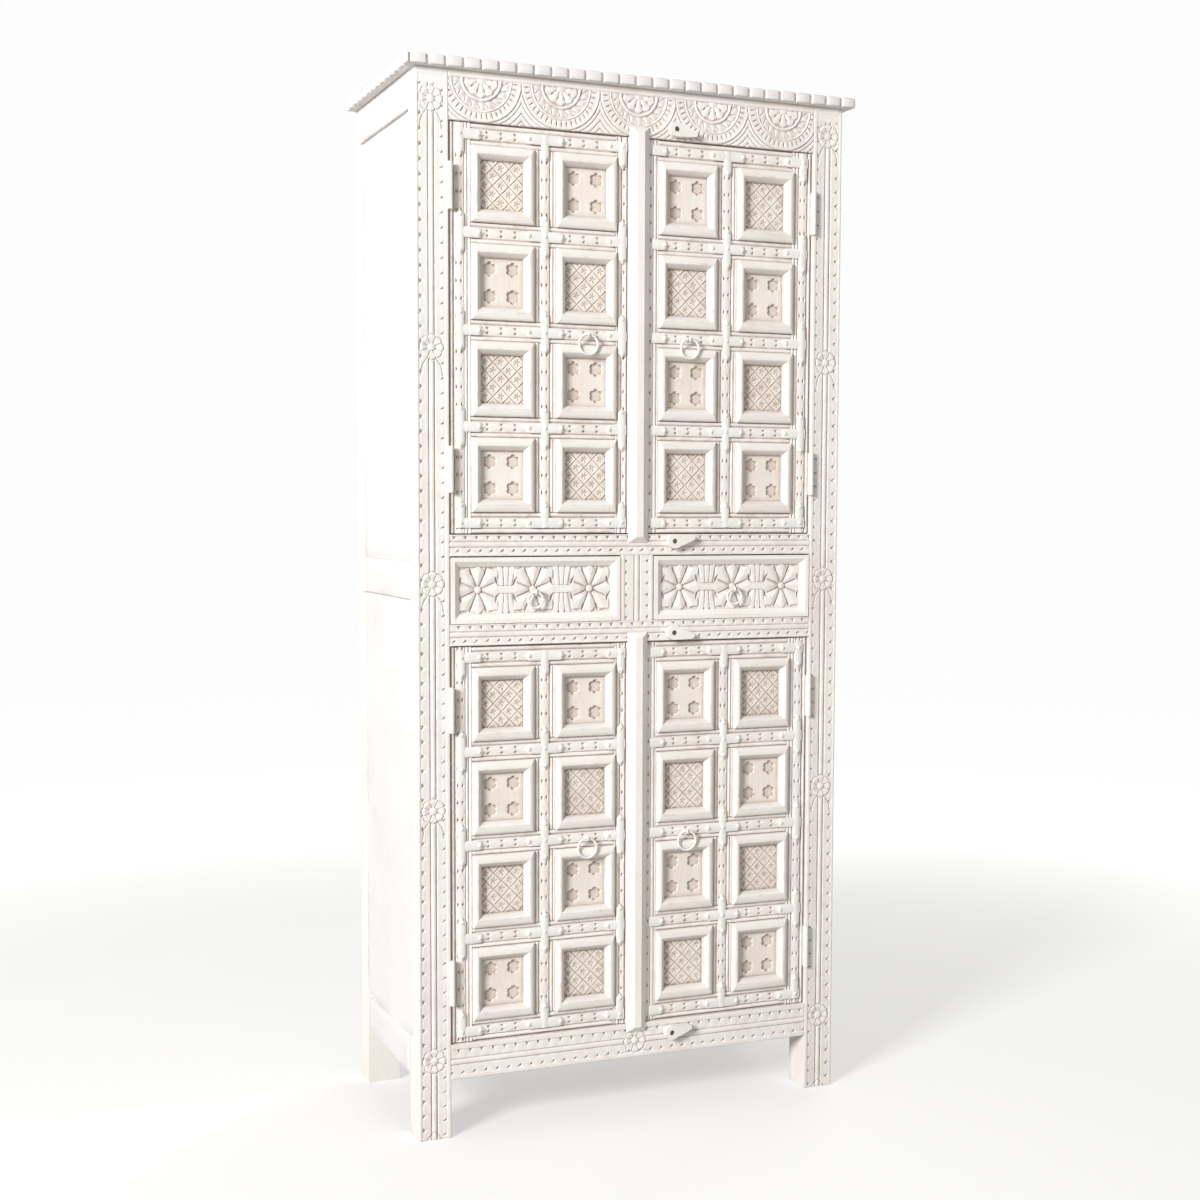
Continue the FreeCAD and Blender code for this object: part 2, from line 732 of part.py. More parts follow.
def door_ring_x(side):
    return f"{side} * (meeting_margin + muntin_start) / 2"


def ironwork(side, start):
    """All straps, rivets and the ring's staple of one door."""
    pieces = []
    for row, z in enumerate(row_centres(start)):
        pieces += stile_strap(side, f"{side} * (door_edge - stile_strap_inset)", z, row, "stile_arm_reach",
                              "stile_rivet_reach")
        pieces += muntin_strap(side, z, row)
        pieces += meeting_strap(side, z, row)
    pieces.append(staple(door_ring_x(side), "door_front", "door_staple_reach", row_centres(start)[2]))
    return pieces


def door_ring(side, start):
    return hoop("door_ring_radius", "ring_wire_radius", door_ring_x(side), "door_front - door_staple_reach",
                f"{row_centres(start)[2]} - door_ring_radius", "y")


def cover_strip(start):
    """The bevelled strip on the right door that covers the joint and laps the rails above and below."""
    bottom, top = f"{start} - cover_bottom_lap", f"{start} + door_opening_height + cover_top_lap"
    base = block("cover_left", "cover_right", "lap_front", "door_front", f"{start} + door_end_gap",
                 f"{start} + door_opening_height - door_end_gap")
    raised = taper("cover_left", "cover_right", "cover_front", "lap_front", bottom, top, "cover_bevel", "cover_end_bevel")
    return fuse(base, raised)


def build_door(level, start, side):
    name = level + ("_left_" if side < 0 else "_right_")
    node(name + "door_frame", *door_frame(side, start))
    node(name + "panel_mouldings", *[panel_moulding(side, *spot) for spot in panel_places(side, start)])
    node(name + "inset_panels", *[inset_panel(side, *spot) for spot in panel_places(side, start)])
    node(name + "ironwork", *ironwork(side, start))
    node(name + "hinge_leaves", *[door_leaf(side, bottom) for owner, bottom in hinge_bottoms() if owner == start])
    node(name + "ring", door_ring(side, start))


# Drawers

def drawer_edges():
    return "drawer_start + drawer_gap / 2", "drawer_end - drawer_gap"


def drawer_front_frame(side):
    """A mitred border with a bevelled inner edge."""
    x0, x1 = mirrored(side, "drawer_near", "drawer_far")
    z0, z1 = drawer_edges()
    outer = block(x0, x1, "drawer_front", "drawer_front_back", z0, z1)
    inner = block(f"{x0} + drawer_border", f"{x1} - drawer_border", "drawer_front", "drawer_front_back",
                  f"{z0} + drawer_border", f"{z1} - drawer_border")
    splay = doc.addObject("Part::Wedge", "splay")
    edge = "drawer_border - drawer_bevel"
    bind(splay, Ymin="0", Ymax="drawer_panel_recess",
         Xmin=edge, Xmax=f"({x1}) - ({x0}) - ({edge})", Zmin=edge, Zmax=f"({z1}) - ({z0}) - ({edge})",
         X2min="drawer_border", X2max=f"({x1}) - ({x0}) - drawer_border",
         Z2min="drawer_border", Z2max=f"({z1}) - ({z0}) - drawer_border")
    place(splay, x0, "drawer_front", z0)
    return cut(outer, inner, splay)


def drawer_carved_panel(side):
    x0, x1 = mirrored(side, "drawer_near", "drawer_far")
    z0, z1 = drawer_edges()
    return block(f"{x0} + drawer_border", f"{x1} - drawer_border", "drawer_panel_front",
                 "drawer_panel_front + drawer_panel_thickness", f"{z0} + drawer_border", f"{z1} - drawer_border")


def drawer_box(side):
    """Inner front, two sides, back and floor behind the drawer's face."""
    z0, z1 = "drawer_start + drawer_running_gap", drawer_edges()[1]
    top = f"{z1} - drawer_box_drop"
    front = "drawer_front_back"
    return [side_block(side, "drawer_near", "drawer_far", front, f"{front} + drawer_wall", z0, top),
            side_block(side, "drawer_near", "drawer_near + drawer_wall", f"{front} + drawer_wall", "drawer_box_back", z0, top),
            side_block(side, "drawer_far - drawer_wall", "drawer_far", f"{front} + drawer_wall", "drawer_box_back", z0, top),
            side_block(side, "drawer_near + drawer_wall", "drawer_far - drawer_wall", "drawer_box_back - drawer_wall",
                       "drawer_box_back", z0, top),
            side_block(side, "drawer_near + drawer_wall", "drawer_far - drawer_wall", f"{front} + drawer_wall",
                       "drawer_box_back - drawer_wall", f"{z0} + drawer_floor_lift",
                       f"{z0} + drawer_floor_lift + drawer_floor")]


def build_drawer(side):
    name = "left_drawer_" if side < 0 else "right_drawer_"
    x, z = f"{side} * drawer_ring_centre", "drawer_start + drawer_ring_rise"
    node(name + "front_frame", drawer_front_frame(side))
    node(name + "carved_panel", drawer_carved_panel(side))
    node(name + "box", *drawer_box(side))
    node(name + "ring_staple", staple(x, "drawer_panel_front", "drawer_staple_reach", z))
    node(name + "ring", hoop("drawer_ring_radius", "ring_wire_radius", x, "drawer_panel_front - drawer_staple_reach",
                             f"{z} - drawer_ring_radius", "y"))


def build_case():
    node("left_front_post", front_post(-1))
    node("right_front_post", front_post(1))
    node("rear_posts", rear_post(-1), rear_post(1))
    node("top_board", top_board())
    node("frieze_rail", front_rail("front_plane + outer_rail_thickness", "upper_door_end", "post_height"))
    node("drawer_rails", front_rail("front_plane + middle_rail_thickness", "lower_door_end", "drawer_start"),
         front_rail("front_plane + middle_rail_thickness", "drawer_end", "upper_door_start"))
    node("drawer_divider", block("-divider_width / 2", "divider_width / 2", "front_plane",
                                 "front_plane + divider_depth", "drawer_start", "drawer_end"))
    node("bottom_rail", front_rail("front_plane + outer_rail_thickness", "leg_height", "lower_door_start"))
    node("side_rails", *side_rails(-1), *side_rails(1))
    node("side_panels", *side_panels(-1), *side_panels(1))
    node("back_rails", back_rail("side_bottom_rail_start", "side_bottom_rail_end"),
         back_rail("side_middle_rail_start", "side_middle_rail_end"), back_rail("side_top_rail_start", "post_height"))
    node("back_panels", *[back_panel(z0, z1) for z0, z1 in PANEL_HEIGHTS])
    outer, middle = "front_plane + outer_rail_thickness", "front_plane + middle_rail_thickness"
    node("floor_boards", inner_board(outer, "half_case - side_rail_thickness", "lower_door_start"),
         inner_board(middle, "side_panel_inside", "drawer_start"),
         inner_board(middle, "side_panel_inside", "upper_door_start"))
    node("shelves", inner_board("front_post_back", "side_panel_inside", "lower_shelf_end"),
         inner_board("front_post_back", "side_panel_inside", "upper_shelf_end"))
    tops = ("lower_shelf_end", "drawer_start", "upper_door_start", "upper_shelf_end")
    node("shelf_cleats", *[cleat(side, f"({top}) - board_thickness") for top in tops for side in (-1, 1)])
    node("drawer_guides", *drawer_guides())
    node("hinge_post_leaves", *[post_leaf(side, bottom) for side in (-1, 1) for owner, bottom in hinge_bottoms()])
    node("hinge_pins", *[hinge_pin(side, bottom) for side in (-1, 1) for owner, bottom in hinge_bottoms()])
    node("latch_screws", *[latch_screw(height) for height, toward in LATCHES.values()])


build_case()
for label, (height, toward_door) in LATCHES.items():
    node(label, turn_latch(height, toward_door))
for level, start in (("upper", "upper_door_start"), ("lower", "lower_door_start")):
    for side in (-1, 1):
        build_door(level, start, side)
    node(level + "_cover_strip", cover_strip(start))
for side in (-1, 1):
    build_drawer(side)
doc.recompute()

for thing in doc.Objects:
    if "Invalid" in thing.State or "Error" in thing.State:
        raise SystemExit("failed: " + thing.Name + " " + thing.Label)
for label, thing in NODES.items():
    if thing.Shape.isNull() or not thing.Shape.isValid() or not thing.Shape.Solids:
        raise SystemExit("bad shape: " + label)
for label, thing in NODES.items():
    thing.Shape.exportStep("parts/" + label + ".step")
print(len(NODES), "nodes", sum(len(thing.Shape.Solids) for thing in NODES.values()), "solids")
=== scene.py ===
import math

import bpy
import numpy as np
from mathutils import Matrix, Vector


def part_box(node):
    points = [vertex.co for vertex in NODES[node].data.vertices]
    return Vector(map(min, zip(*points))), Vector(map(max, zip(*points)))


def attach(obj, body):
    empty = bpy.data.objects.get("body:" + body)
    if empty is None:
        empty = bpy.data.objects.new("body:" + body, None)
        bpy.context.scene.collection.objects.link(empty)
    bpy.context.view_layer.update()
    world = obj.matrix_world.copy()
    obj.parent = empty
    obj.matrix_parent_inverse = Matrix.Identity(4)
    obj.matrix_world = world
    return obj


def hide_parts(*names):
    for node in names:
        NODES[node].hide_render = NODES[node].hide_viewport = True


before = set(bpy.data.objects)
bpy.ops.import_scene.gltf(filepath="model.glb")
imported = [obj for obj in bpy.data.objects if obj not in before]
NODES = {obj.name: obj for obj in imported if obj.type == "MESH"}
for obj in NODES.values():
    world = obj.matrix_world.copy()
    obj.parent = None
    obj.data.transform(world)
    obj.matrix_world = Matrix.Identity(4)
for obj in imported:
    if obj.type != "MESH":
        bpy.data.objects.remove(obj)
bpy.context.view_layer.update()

# Lengths below are in millimetres; meshes are written in metres.
MM = 0.001

# Surfaces and levels of the case, from the middle of its width and up from the ground
FRONT = -186.0
POST_TOP = 1783.0
HALF_CASE, HALF_OPENING, PANEL_REBATE = 394.0, 338.0, 380.0
CARVED_POST_BACK, POST_BACK = -146.0, -126.0
DEEP_RAIL_BACK, DRAWER_RAIL_BACK = -162.0, -156.0
FRIEZE_BOTTOM, LOWER_RAIL_BOTTOM, BOTTOM_RAIL_BOTTOM = 1702.0, 838.0, 100.0
HALF_DIVIDER = 30.0
LOWER_DOOR, UPPER_DOOR, OPENING_HEIGHT = 160.0, 1024.0, 678.0
DRAWER_BOTTOM, DRAWER_TOP = 874.0, 988.0

# At these levels a front post is whole behind; between them it is cut away for the side panels
POST_BLOCKS = ((0.0, 162.0), (915.0, 977.0), (1722.0, POST_TOP))

# Surfaces of the doors
DOOR_FRONT, DOOR_BACK = -182.0, -158.0
INSET_FRONT = DOOR_FRONT + 5.5


def clamp(value):
    return np.clip(value, 0, 1)


def lattice_noise(u, v, cell, seed):
    """Smooth noise from -0.5 to 0.5 on a plane, with features about one cell wide."""
    a, b = u / cell, v / cell
    i, j = np.floor(a), np.floor(b)
    fa, fb = a - i, b - j
    fa, fb = fa * fa * (3 - 2 * fa), fb * fb * (3 - 2 * fb)

    def corner(p, q):
        return np.modf(np.abs(np.sin(p * 127.1 + q * 311.7 + seed * 74.7) * 43758.5453))[0]

    low = corner(i, j) * (1 - fa) + corner(i + 1, j) * fa
    high = corner(i, j + 1) * (1 - fa) + corner(i + 1, j + 1) * fa
    return low * (1 - fb) + high * fb - 0.5


def blurred(field, radius):
    """A box blur of a height field, run twice each way."""
    for _ in range(2):
        for axis in (0, 1):
            width = min(radius, (field.shape[axis] - 1) // 2)
            pad = [(0, 0), (0, 0)]
            pad[axis] = (width + 1, width)
            total = np.cumsum(np.pad(field, pad, mode="edge"), axis=axis)
            span = 2 * width + 1
            high = np.take(total, np.arange(span, total.shape[axis]), axis=axis)
            low = np.take(total, np.arange(0, total.shape[axis] - span), axis=axis)
            field = (high - low) / span
    return field


# Cuts. Each gives a depth in mm below the surface, on arrays of places.

def vee(distance, half_width, depth):
    return depth * clamp(1 - np.abs(distance) / half_width)


def turned(du, dv, angle):
    """Places along and across a direction, given by its angle in degrees."""
    cos, sin = math.cos(math.radians(angle)), math.sin(math.radians(angle))
    return du * cos + dv * sin, -du * sin + dv * cos


def lens(du, dv, length, width, angle, depth):
    """A gouge cut of pointed oval outline, turned by an angle in degrees."""
    along, across = turned(du, dv, angle)
    edge = width / 2 * clamp(1 - (2 * along / length) ** 2)
    return depth * clamp(1 - np.abs(across) / np.maximum(edge, 0.05)) * (edge > 0.05)


def triangle_cut(du, dv, length, width, angle, depth):
    """A steep three-cornered pit: its base at the start, its point along the angle in degrees."""
    along, across = turned(du, dv, angle)
    half = width / 2 * (1 - along / length)
    room = np.minimum(np.minimum(along, length - along), half - np.abs(across))
    return depth * clamp(room / 1.5 + 0.25) * (room > -0.3)


def repeated(v, first, pitch):
    """Distance to the nearest of a row of places."""
    return v - first - np.round((v - first) / pitch) * pitch


def curve_line(u, v, points, half_width, depth):
    """A V cut along a line through points."""
    result = np.zeros_like(u)
    for (u0, v0), (u1, v1) in zip(points[:-1], points[1:]):
        du, dv = u1 - u0, v1 - v0
        share = clamp(((u - u0) * du + (v - v0) * dv) / (du * du + dv * dv))
        distance = np.hypot(u - u0 - share * du, v - v0 - share * dv)
        result = np.maximum(result, vee(distance, half_width, depth))
    return result


def veins(u, v, pitch, slope, depth):
    """Fine slanting gouge marks."""
    phase = (v - slope * u) / pitch + 0.25 * lattice_noise(u, v, 9, 3)
    return depth * (0.5 - 0.5 * np.cos(2 * math.pi * phase))


def uneven(depth, x, z, cell, seed, amount=0.2):
    """A carving with the slight waviness of hand work."""
    return depth + amount * (lattice_noise(x, z, cell, seed) + 0.5)


ROSETTE_RADIUS, ROSETTE_PETALS, ROSETTE_BOSS = 20.5, 8, 6.3


def rosette(u, v):
    """Depth of a small round flower, the mask of where it stands, and the cut round it."""
    r, angle = np.hypot(u, v), np.arctan2(v, u)
    lobe = (angle / (2 * math.pi) * ROSETTE_PETALS + 0.5) % 1 - 0.5
    edge = ROSETTE_RADIUS * (0.84 + 0.16 * np.cos(lobe * math.pi) ** 0.7)
    cup = 2.6 * (1 - clamp((r - 4) / 12))
    cup += 0.7 * clamp((r - ROSETTE_RADIUS * 0.76) / (ROSETTE_RADIUS * 0.24)) ** 2
    between = vee((0.5 - np.abs(lobe)) * r * 2 * math.pi / ROSETTE_PETALS, 1.1, 1.5)
    ribs = 0.6 * (0.5 - 0.5 * np.cos(lobe * 2 * math.pi * 3)) * clamp((r - 6) / 6)
    depth = np.where(r < ROSETTE_BOSS, 0.1 + 1.2 * (r / ROSETTE_BOSS) ** 2, cup + between + ribs)
    rim = clamp(1 - (r - edge) / 3.2) * 2.8 * (r >= edge)
    return depth, r < edge, rim


def with_rosette(depth, u, v, near):
    """A carving with a rosette laid over it, where near is true."""
    flower, inside, rim = rosette(u, v)
    return np.where(inside & near, flower, np.where(near, np.maximum(depth, rim), depth))


# A front post carries two bands of leaves beside a bead; each flower above the foot has tails
POST_ROSETTES = (1733.0, 1332.0, 942.0, 562.0, 135.0)
FOOT_HEIGHT = 200.0
POST_BEAD, HALF_BEAD, HALF_BAND = 367.0, 4.2, 22.0
POST_LEAF_PITCH = 24.5
POST_BAND_TOP, POST_LEAVES_TOP = 1772.0, 1757.0
TAIL = ((4, -17), (9, -20), (14, -27), (17.5, -36), (18.5, -47))
TAIL_INNER_EDGE = ((4.4, -20), (6.0, -30), (8.5, -41), (13, -50))
FOOT_POINT = ((1, 13), (8, 6), (14, 0))


def post_relief(x, z):
    """Carving of a front post: leaves either side of a bead, with flowers laid over them."""
    u = np.abs(x) - POST_BEAD
    half = np.abs(u)
    field = (half < HALF_BAND) & (z < POST_BAND_TOP)
    carved = field & (z < POST_LEAVES_TOP)
    leaves = carved & (half > 4.6)
    outer_row = repeated(z, 18, POST_LEAF_PITCH)
    inner_row = repeated(z, 8, POST_LEAF_PITCH)
    bend = 9.0 * clamp(1 - half / 20) ** 1.6
    curl = np.where(u > 0, outer_row, inner_row) + bend
    fine = np.clip((18.5 - half) / 4, 0.1, 1)
    depth = np.where(field, 0.6, 0.0)
    depth += np.where(leaves, veins(half, z + bend, 4.2, 0.7, 0.8) * fine, 0)
    for shift in (-POST_LEAF_PITCH, 0, POST_LEAF_PITCH):
        line = 0.7 + vee(curl + shift, 1.1, np.where(u > 0, 0.2, 0.5))
        depth = np.where(leaves, np.maximum(depth, line), depth)
    depth += np.where(leaves, 0.2 * (0.5 + 0.5 * np.cos(curl / POST_LEAF_PITCH * 2 * math.pi)), 0)
    depth = np.where(carved & (half < HALF_BEAD), 0.1 + 1.1 * (u / HALF_BEAD) ** 2, depth)
    depth += np.where(carved, vee(half - 4.9, 1.3, 2.6), 0)
    outer_pits = triangle_cut(HALF_BAND - 1.8 - u, outer_row, 6.4, 8.4, 0, 3.8)
    inner_pits = triangle_cut(u + HALF_BAND - 0.8, inner_row, 8.4, 4.8, -24, 3.8)
    depth = np.where(carved, np.maximum(depth, np.maximum(outer_pits, inner_pits)), depth)
    depth += (vee(u - HALF_BAND, 0.9, 0.5) + vee(u + HALF_BAND, 0.9, 0.6)) * (z < POST_LEAVES_TOP)
    for height in POST_ROSETTES:
        v = z - height
        near = (np.abs(v) < 60) & field
        for way in (-1, 1) if height > FOOT_HEIGHT else ():
            tail = curve_line(u * way, v, TAIL, 1.8, 3.0)
            inner_edge = curve_line(u * way, v, TAIL_INNER_EDGE, 1.2, 1.3)
            depth = np.where(near, np.maximum(depth, np.maximum(tail, inner_edge)), depth)
        depth = with_rosette(depth, u, v, near)
    for way in (-1, 1):
        depth += curve_line(u * way, z, FOOT_POINT, 1.6, 1.8)
    return uneven(depth, x, z, 22, 5, 0.25)


FAN_CENTRES = (-281.0, -141.0, 0.0, 139.0, 277.0)
FAN_TOP = 1771.0
ARCH_RADII = (77.0, 85.0, 93.0)


def fan(u, v):
    """Carving of one hanging half-round fan about its centre, and the mask of where it stands."""
    # Radii at which each zone starts, outward from a round boss with petals round it
    inner_bead, leaves, outer_bead, ticks, rim, edge = 31, 36, 50.5, 54, 66, 71.5
    r, angle = np.hypot(u, v), np.degrees(np.arctan2(-v, u))
    lobes = (angle / 36) % 1 - 0.5
    across = (0.5 - np.abs(lobes)) * r * math.radians(36)
    petal = 0.5 + 0.9 * (np.abs(lobes) * 2) ** 2 + 1.0 * clamp(1 - (r - 8) / 8)
    petal += vee(across, 1.0, 0.6)
    pits = 3.2 * clamp((2.4 - across - 0.34 * np.abs(r - 19)) / 1.2) * (r > 9)
    notch = 2.6 * clamp((r - 27.5 + 8 * (np.abs(lobes) - 0.2)) / 1.6)
    depth = np.maximum(np.maximum(petal, pits), notch)
    depth = np.where(r < 8, 0.4 + 1.4 * (r / 8) ** 2, depth)
    depth = np.where(r > inner_bead, 0.1 + 1.0 * ((r - 33.4) / 2.4) ** 2, depth)
    side = repeated(angle, 0, 18)
    reach = side * np.radians(r)
    outer = 1.4 + 1.2 * np.abs(side) / 9 - 0.7 * clamp(1 - np.abs(r - 44) / 6)
    outer += 0.5 * (0.5 - 0.5 * np.cos(reach * 2.6))
    outer = np.maximum(outer, lens(r - 44, reach - 3.0, 11, 4.2, -24, 4.0))
    outer = np.maximum(outer, vee(r - 50 + 0.22 * reach ** 2, 1.2, 1.2))
    outer = np.maximum(outer, 3.6 * clamp(1 - (r - leaves) / 2.8))
    depth = np.where(r > leaves, outer, depth)
    depth = np.where(r > outer_bead, 0.2 + 1.3 * np.abs(r - 52.2) / 1.9, depth)
    mark = repeated(angle, 3, 8.6)
    gouges = lens(r - 60, mark * np.radians(r), 10.5, 4.6, 0, 3.8)
    depth = np.where(r > ticks, np.maximum(0.8, gouges), depth)
    depth = np.where(r > rim, 0.3 + 0.7 * ((r - 68.3) / 2.3) ** 2, depth)
    depth += vee(r - 54.4, 1.1, 1.5) + vee(r - 70.6, 1.3, 2.2)
    return depth, (r < edge) & (v < 0)


def frieze_relief(x, z):
    """Five fans that hang from a plain band, with nested pointed arches between them."""
    depth = np.full_like(x, 0.8)
    away = np.min(np.abs(x[..., None] - np.array(FAN_CENTRES)), axis=-1)
    r = np.hypot(away, z - FAN_TOP)
    for radius in ARCH_RADII:
        depth = np.maximum(depth, 0.8 + vee(r - radius, 1.4, 2.0) * (away > 26))
    depth += 0.5 * clamp((r - 73) / 20) + veins(away, z, 3.2, 0.9, 0.3) * (r > 78) * (r < 92)
    for centre in FAN_CENTRES:
        carving, inside = fan(x - centre, z - FAN_TOP)
        depth = np.where(inside, carving, depth)
    depth = np.where(z < FAN_TOP, depth, 0.0) + vee(z - FAN_TOP, 1.1, 1.5)
    return uneven(depth, x, z, 25, 8)


def leaf_band(along, across, half, pitch, pit, start):
    """A band of slanting veins with a row of pits near one edge; across runs from the bead outward."""
    near = repeated(along, start, pitch)
    bend = clamp(1 - across / half) ** 1.5
    curl = near + 0.42 * pitch * bend
    depth = 0.7 + veins(across, along + 0.4 * pitch * bend, 3.3, -0.7, 0.35)
    depth += 0.35 * (0.5 + 0.5 * np.cos(curl / pitch * 2 * math.pi))
    for shift in (-pitch, 0, pitch):
        depth = np.maximum(depth, 0.8 + vee(curl + shift, 1.2, 0.7))
    if pit == "down":
        cut = triangle_cut(half - 0.7 - across, near, 6.6, 7.2, 0, 4.2)
    else:
        cut = triangle_cut(across - half + 5.5, 3.6 - near, 8.6, 5.4, 62, 4.2)
    return np.maximum(depth, cut)


def beaded_bands(x, rise, half_bead, upper, lower, pitch, starts):
    """A bead with a leaf band above and another below; starts places their leaves."""
    depth = np.where(np.abs(rise) < half_bead, 0.15 + 0.8 * (rise / half_bead) ** 2, 0.0)
    above = leaf_band(x, rise - half_bead, upper - half_bead, pitch, "down", starts[0])
    depth = np.where((rise > half_bead) & (rise < upper), above, depth)
    below = leaf_band(x, -rise - half_bead, lower - half_bead, pitch, "aside", starts[1])
    depth = np.where((rise < -half_bead) & (rise > -lower), below, depth)
    return depth + vee(np.abs(rise) - half_bead - 0.6, 1.3, 1.9)


def upper_rail_relief(x, z):
    return uneven(beaded_bands(x, z - 1007.5, 4.2, 14.5, 15.0, 19.6, (4, 9)), x, z, 22, 11)


def lower_rail_relief(x, z):
    return uneven(beaded_bands(x, z - 856.8, 4.2, 14.8, 15.4, 19.6, (12, 2)), x, z, 22, 12)


UPPER_SPRAY = ((8, 17), (16, 16.5), (24, 18), (34, 21.5))
LOWER_SPRAY = ((7, -17), (15, -17.5), (24, -20), (33, -22))


def bottom_rail_relief(x, z):
    """A beaded rail with one rosette at its middle and short sprays beside it."""
    depth = beaded_bands(x, z - 129.8, 4.4, 21.5, 23.2, 20.4, (3, 9))
    v = z - 129.0
    near = np.abs(x) < 60
    for way in (-1, 1):
        for spray in (UPPER_SPRAY, LOWER_SPRAY):
            depth = np.where(near, np.maximum(depth, curve_line(x * way, v, spray, 1.5, 2.6)), depth)
    depth = with_rosette(depth, x, v, near)
    return uneven(depth, x, z, 22, 13)


def divider_relief(x, z):
    """A bead down the middle of the divider, with leaves and a row of pits on either side."""
    half = np.abs(x)
    depth = np.where(half > 24, 0.0, 0.6 + veins(half, z, 2.8, 0.8, 0.4))
    near = repeated(z, 880, 19.5)
    curl = near + 8.0 * clamp(1 - half / 20) ** 1.6
    depth = np.where(half < 22, np.maximum(depth, 0.7 + vee(curl, 1.6, 0.6)), depth)
    depth = np.where(half < 4.4, 0.15 + 1.0 * (x / 4.4) ** 2, depth)
    depth = np.maximum(depth, triangle_cut(22 - half, near, 6.5, 7.0, 0, 3.6))
    return uneven(depth + vee(half - 5, 1.3, 2.2), x, z, 22, 14)


# Drawer fronts

DRAWER_FLOWERS = (85.0, 188.0, 286.0)
SHEAVES = (137.0, 237.0)
PANEL_MIDDLE = 931.0
PANEL_GROUND = 5.5


def drawer_flower(u, v):
    """Height and soft-edged mask of an eight-petalled flower whose petals meet in V grooves."""
    r, angle = np.hypot(u, v), np.degrees(np.arctan2(v, u)) + 360
    number = np.round(angle / 45)
    lobe = 2 * np.abs(angle / 45 - number)
    upright = (number % 2) == 0
    edge = np.where(upright, 41.0, 49.0) * (1 - np.where(upright, 0.24, 0.28) * lobe)
    across = (1 - lobe) / 2 * r * math.radians(45)
    height = PANEL_GROUND * (0.60 + 0.40 * clamp(across / 9.5))
    height *= np.clip(0.45 + (r - 3) / 26, 0.5, 1)
    height -= vee(across, 1.5, 2.8) * clamp(1.5 - r / 40)
    hatch = 1.0 * (0.5 + 0.5 * np.cos(u * 2.1) * np.cos(v * 2.1))
    height = np.where(r < 6.4, 3.8 * np.sqrt(clamp(1 - (r / 7.4) ** 2)) + hatch, height)
    return np.clip(height - vee(r - 7.0, 1.2, 1.6), 0, PANEL_GROUND), clamp((edge - r) / 1.4)


def sheaf(u, v):
    """Height and soft-edged mask of three stalks that spread up and down from a band."""
    reach = np.abs(v)
    half = 11.0 + 5.5 * clamp((reach - 7) / 30) ** 1.2
    stalk = np.clip(u / half * 1.5, -1.5, 1.5)
    line = np.abs(np.abs(stalk) - 0.5) * half / 1.5
    mask = clamp((half - np.abs(u)) / 1.4 + 0.2)
    height = 4.9 - vee(line, 1.0, 2.2) - vee(half - np.abs(u), 1.2, 1.2) - vee(reach - 6.8, 1.2, 1.8)
    band = clamp((6.4 - reach) / 0.8) * clamp((15.5 - np.abs(u)) / 1.2)
    return height * (1 - band) + 5.2 * band, np.maximum(mask, band)


def drawer_panel_relief(side):
    """Three flowers with sheaves between them; dark notches part their tips."""
    def relief(x, z):
        u, v = np.abs(x), z - PANEL_MIDDLE
        rise = np.abs(v)
        height = 3.2 + 0.5 * lattice_noise(x, z, 13, 21 + side)
        for centre in DRAWER_FLOWERS:
            flower, mask = drawer_flower(u - centre, v)
            height = height * (1 - mask) + flower * mask
        for centre in SHEAVES:
            stalks, mask = sheaf(u - centre, v)
            height = height * (1 - mask) + stalks * mask
            for gap in (-5.5, 5.5):
                pit = triangle_cut(41.0 - rise, u - centre - gap, 6.5, 5.0, 0, PANEL_GROUND)
                height = np.minimum(height, PANEL_GROUND - pit)
        for centre in DRAWER_FLOWERS:
            out = np.abs(u - centre)
            steep = lens(out - 13.0, rise - 31.0, 15, 4.6, 72, 3.8)
            shallow = lens(out - 32.5, rise - 14.5, 16, 4.8, 113, 4.2)
            corner = lens(out - 24, rise - 36.0, 12, 3.2, -20, 1.6)
            height -= np.maximum(np.maximum(steep, shallow), corner)
        depth = 0.4 + np.clip(PANEL_GROUND - height, 0, PANEL_GROUND)
        return uneven(depth, x, z, 12, 22, 0.15)

    return relief


# Door members: a chain of long chips runs along the strip of each

CHIP_PITCH, CHIP_START = 29.0, 21.7
HALF_STRIP = 8.2
COVER_STRIP_EDGE = 18.0

# Of each upright piece: its strip's distance from the middle of the case, the reeds from the
# strip's middle, the seed of its waviness and the distance from the strip beyond which it is flat
STILE = (319.0, ((-21, -15.6), (-14, -9.4), (10.4, 15.4)), 31, 30.0)
MUNTIN = (169.2, ((-15.4, -10.4), (10.4, 15.4)), 32, 16.2)
MEETING_STILE = (20.5, ((9.6, 15.4),), 33, 16.4)


def paired_chips(across, along, pitch, start):
    """A chain of long facets with facing notches between them."""
    near = repeated(along, start, pitch)
    half = np.abs(across)
    share = 2 * np.abs(near) / pitch
    facet = 0.2 + 1.2 * (half / HALF_STRIP) ** 2 * (1 - 0.5 * share)
    notch = triangle_cut(6.0 - half, near, 4.8, 8.4, 0, 3.8)
    edge = vee(half - 1.6 - 6.0 * clamp(share) ** 0.7, 0.9, 0.9)
    return np.maximum(facet + edge, notch)


def strip_profile(across, along, reeds, pitch=CHIP_PITCH, start=CHIP_START):
    """A chip-carved strip with reeds beside it; across runs from the strip's middle."""
    depth = np.where(np.abs(across) < HALF_STRIP, paired_chips(across, along, pitch, start), 3.2)
    for low, high in reeds:
        middle, half = (low + high) / 2, (high - low) / 2
        bar = np.abs(across - middle) < half
        depth = np.where(bar, 0.2 + 1.3 * ((across - middle) / half) ** 2, depth)
    return depth


def upright_relief(side, place, reeds, seed, flat_from):
    """Carving of a stile or muntin, which stays plain where the cover strip lies on it."""
    def relief(x, z):
        u = side * x - place
        depth = np.where(np.abs(u) > flat_from, 1.2, strip_profile(u, z, reeds))
        return uneven(np.where(side * x < COVER_STRIP_EDGE, 0.0, depth), x, z, 24, seed)

    return relief


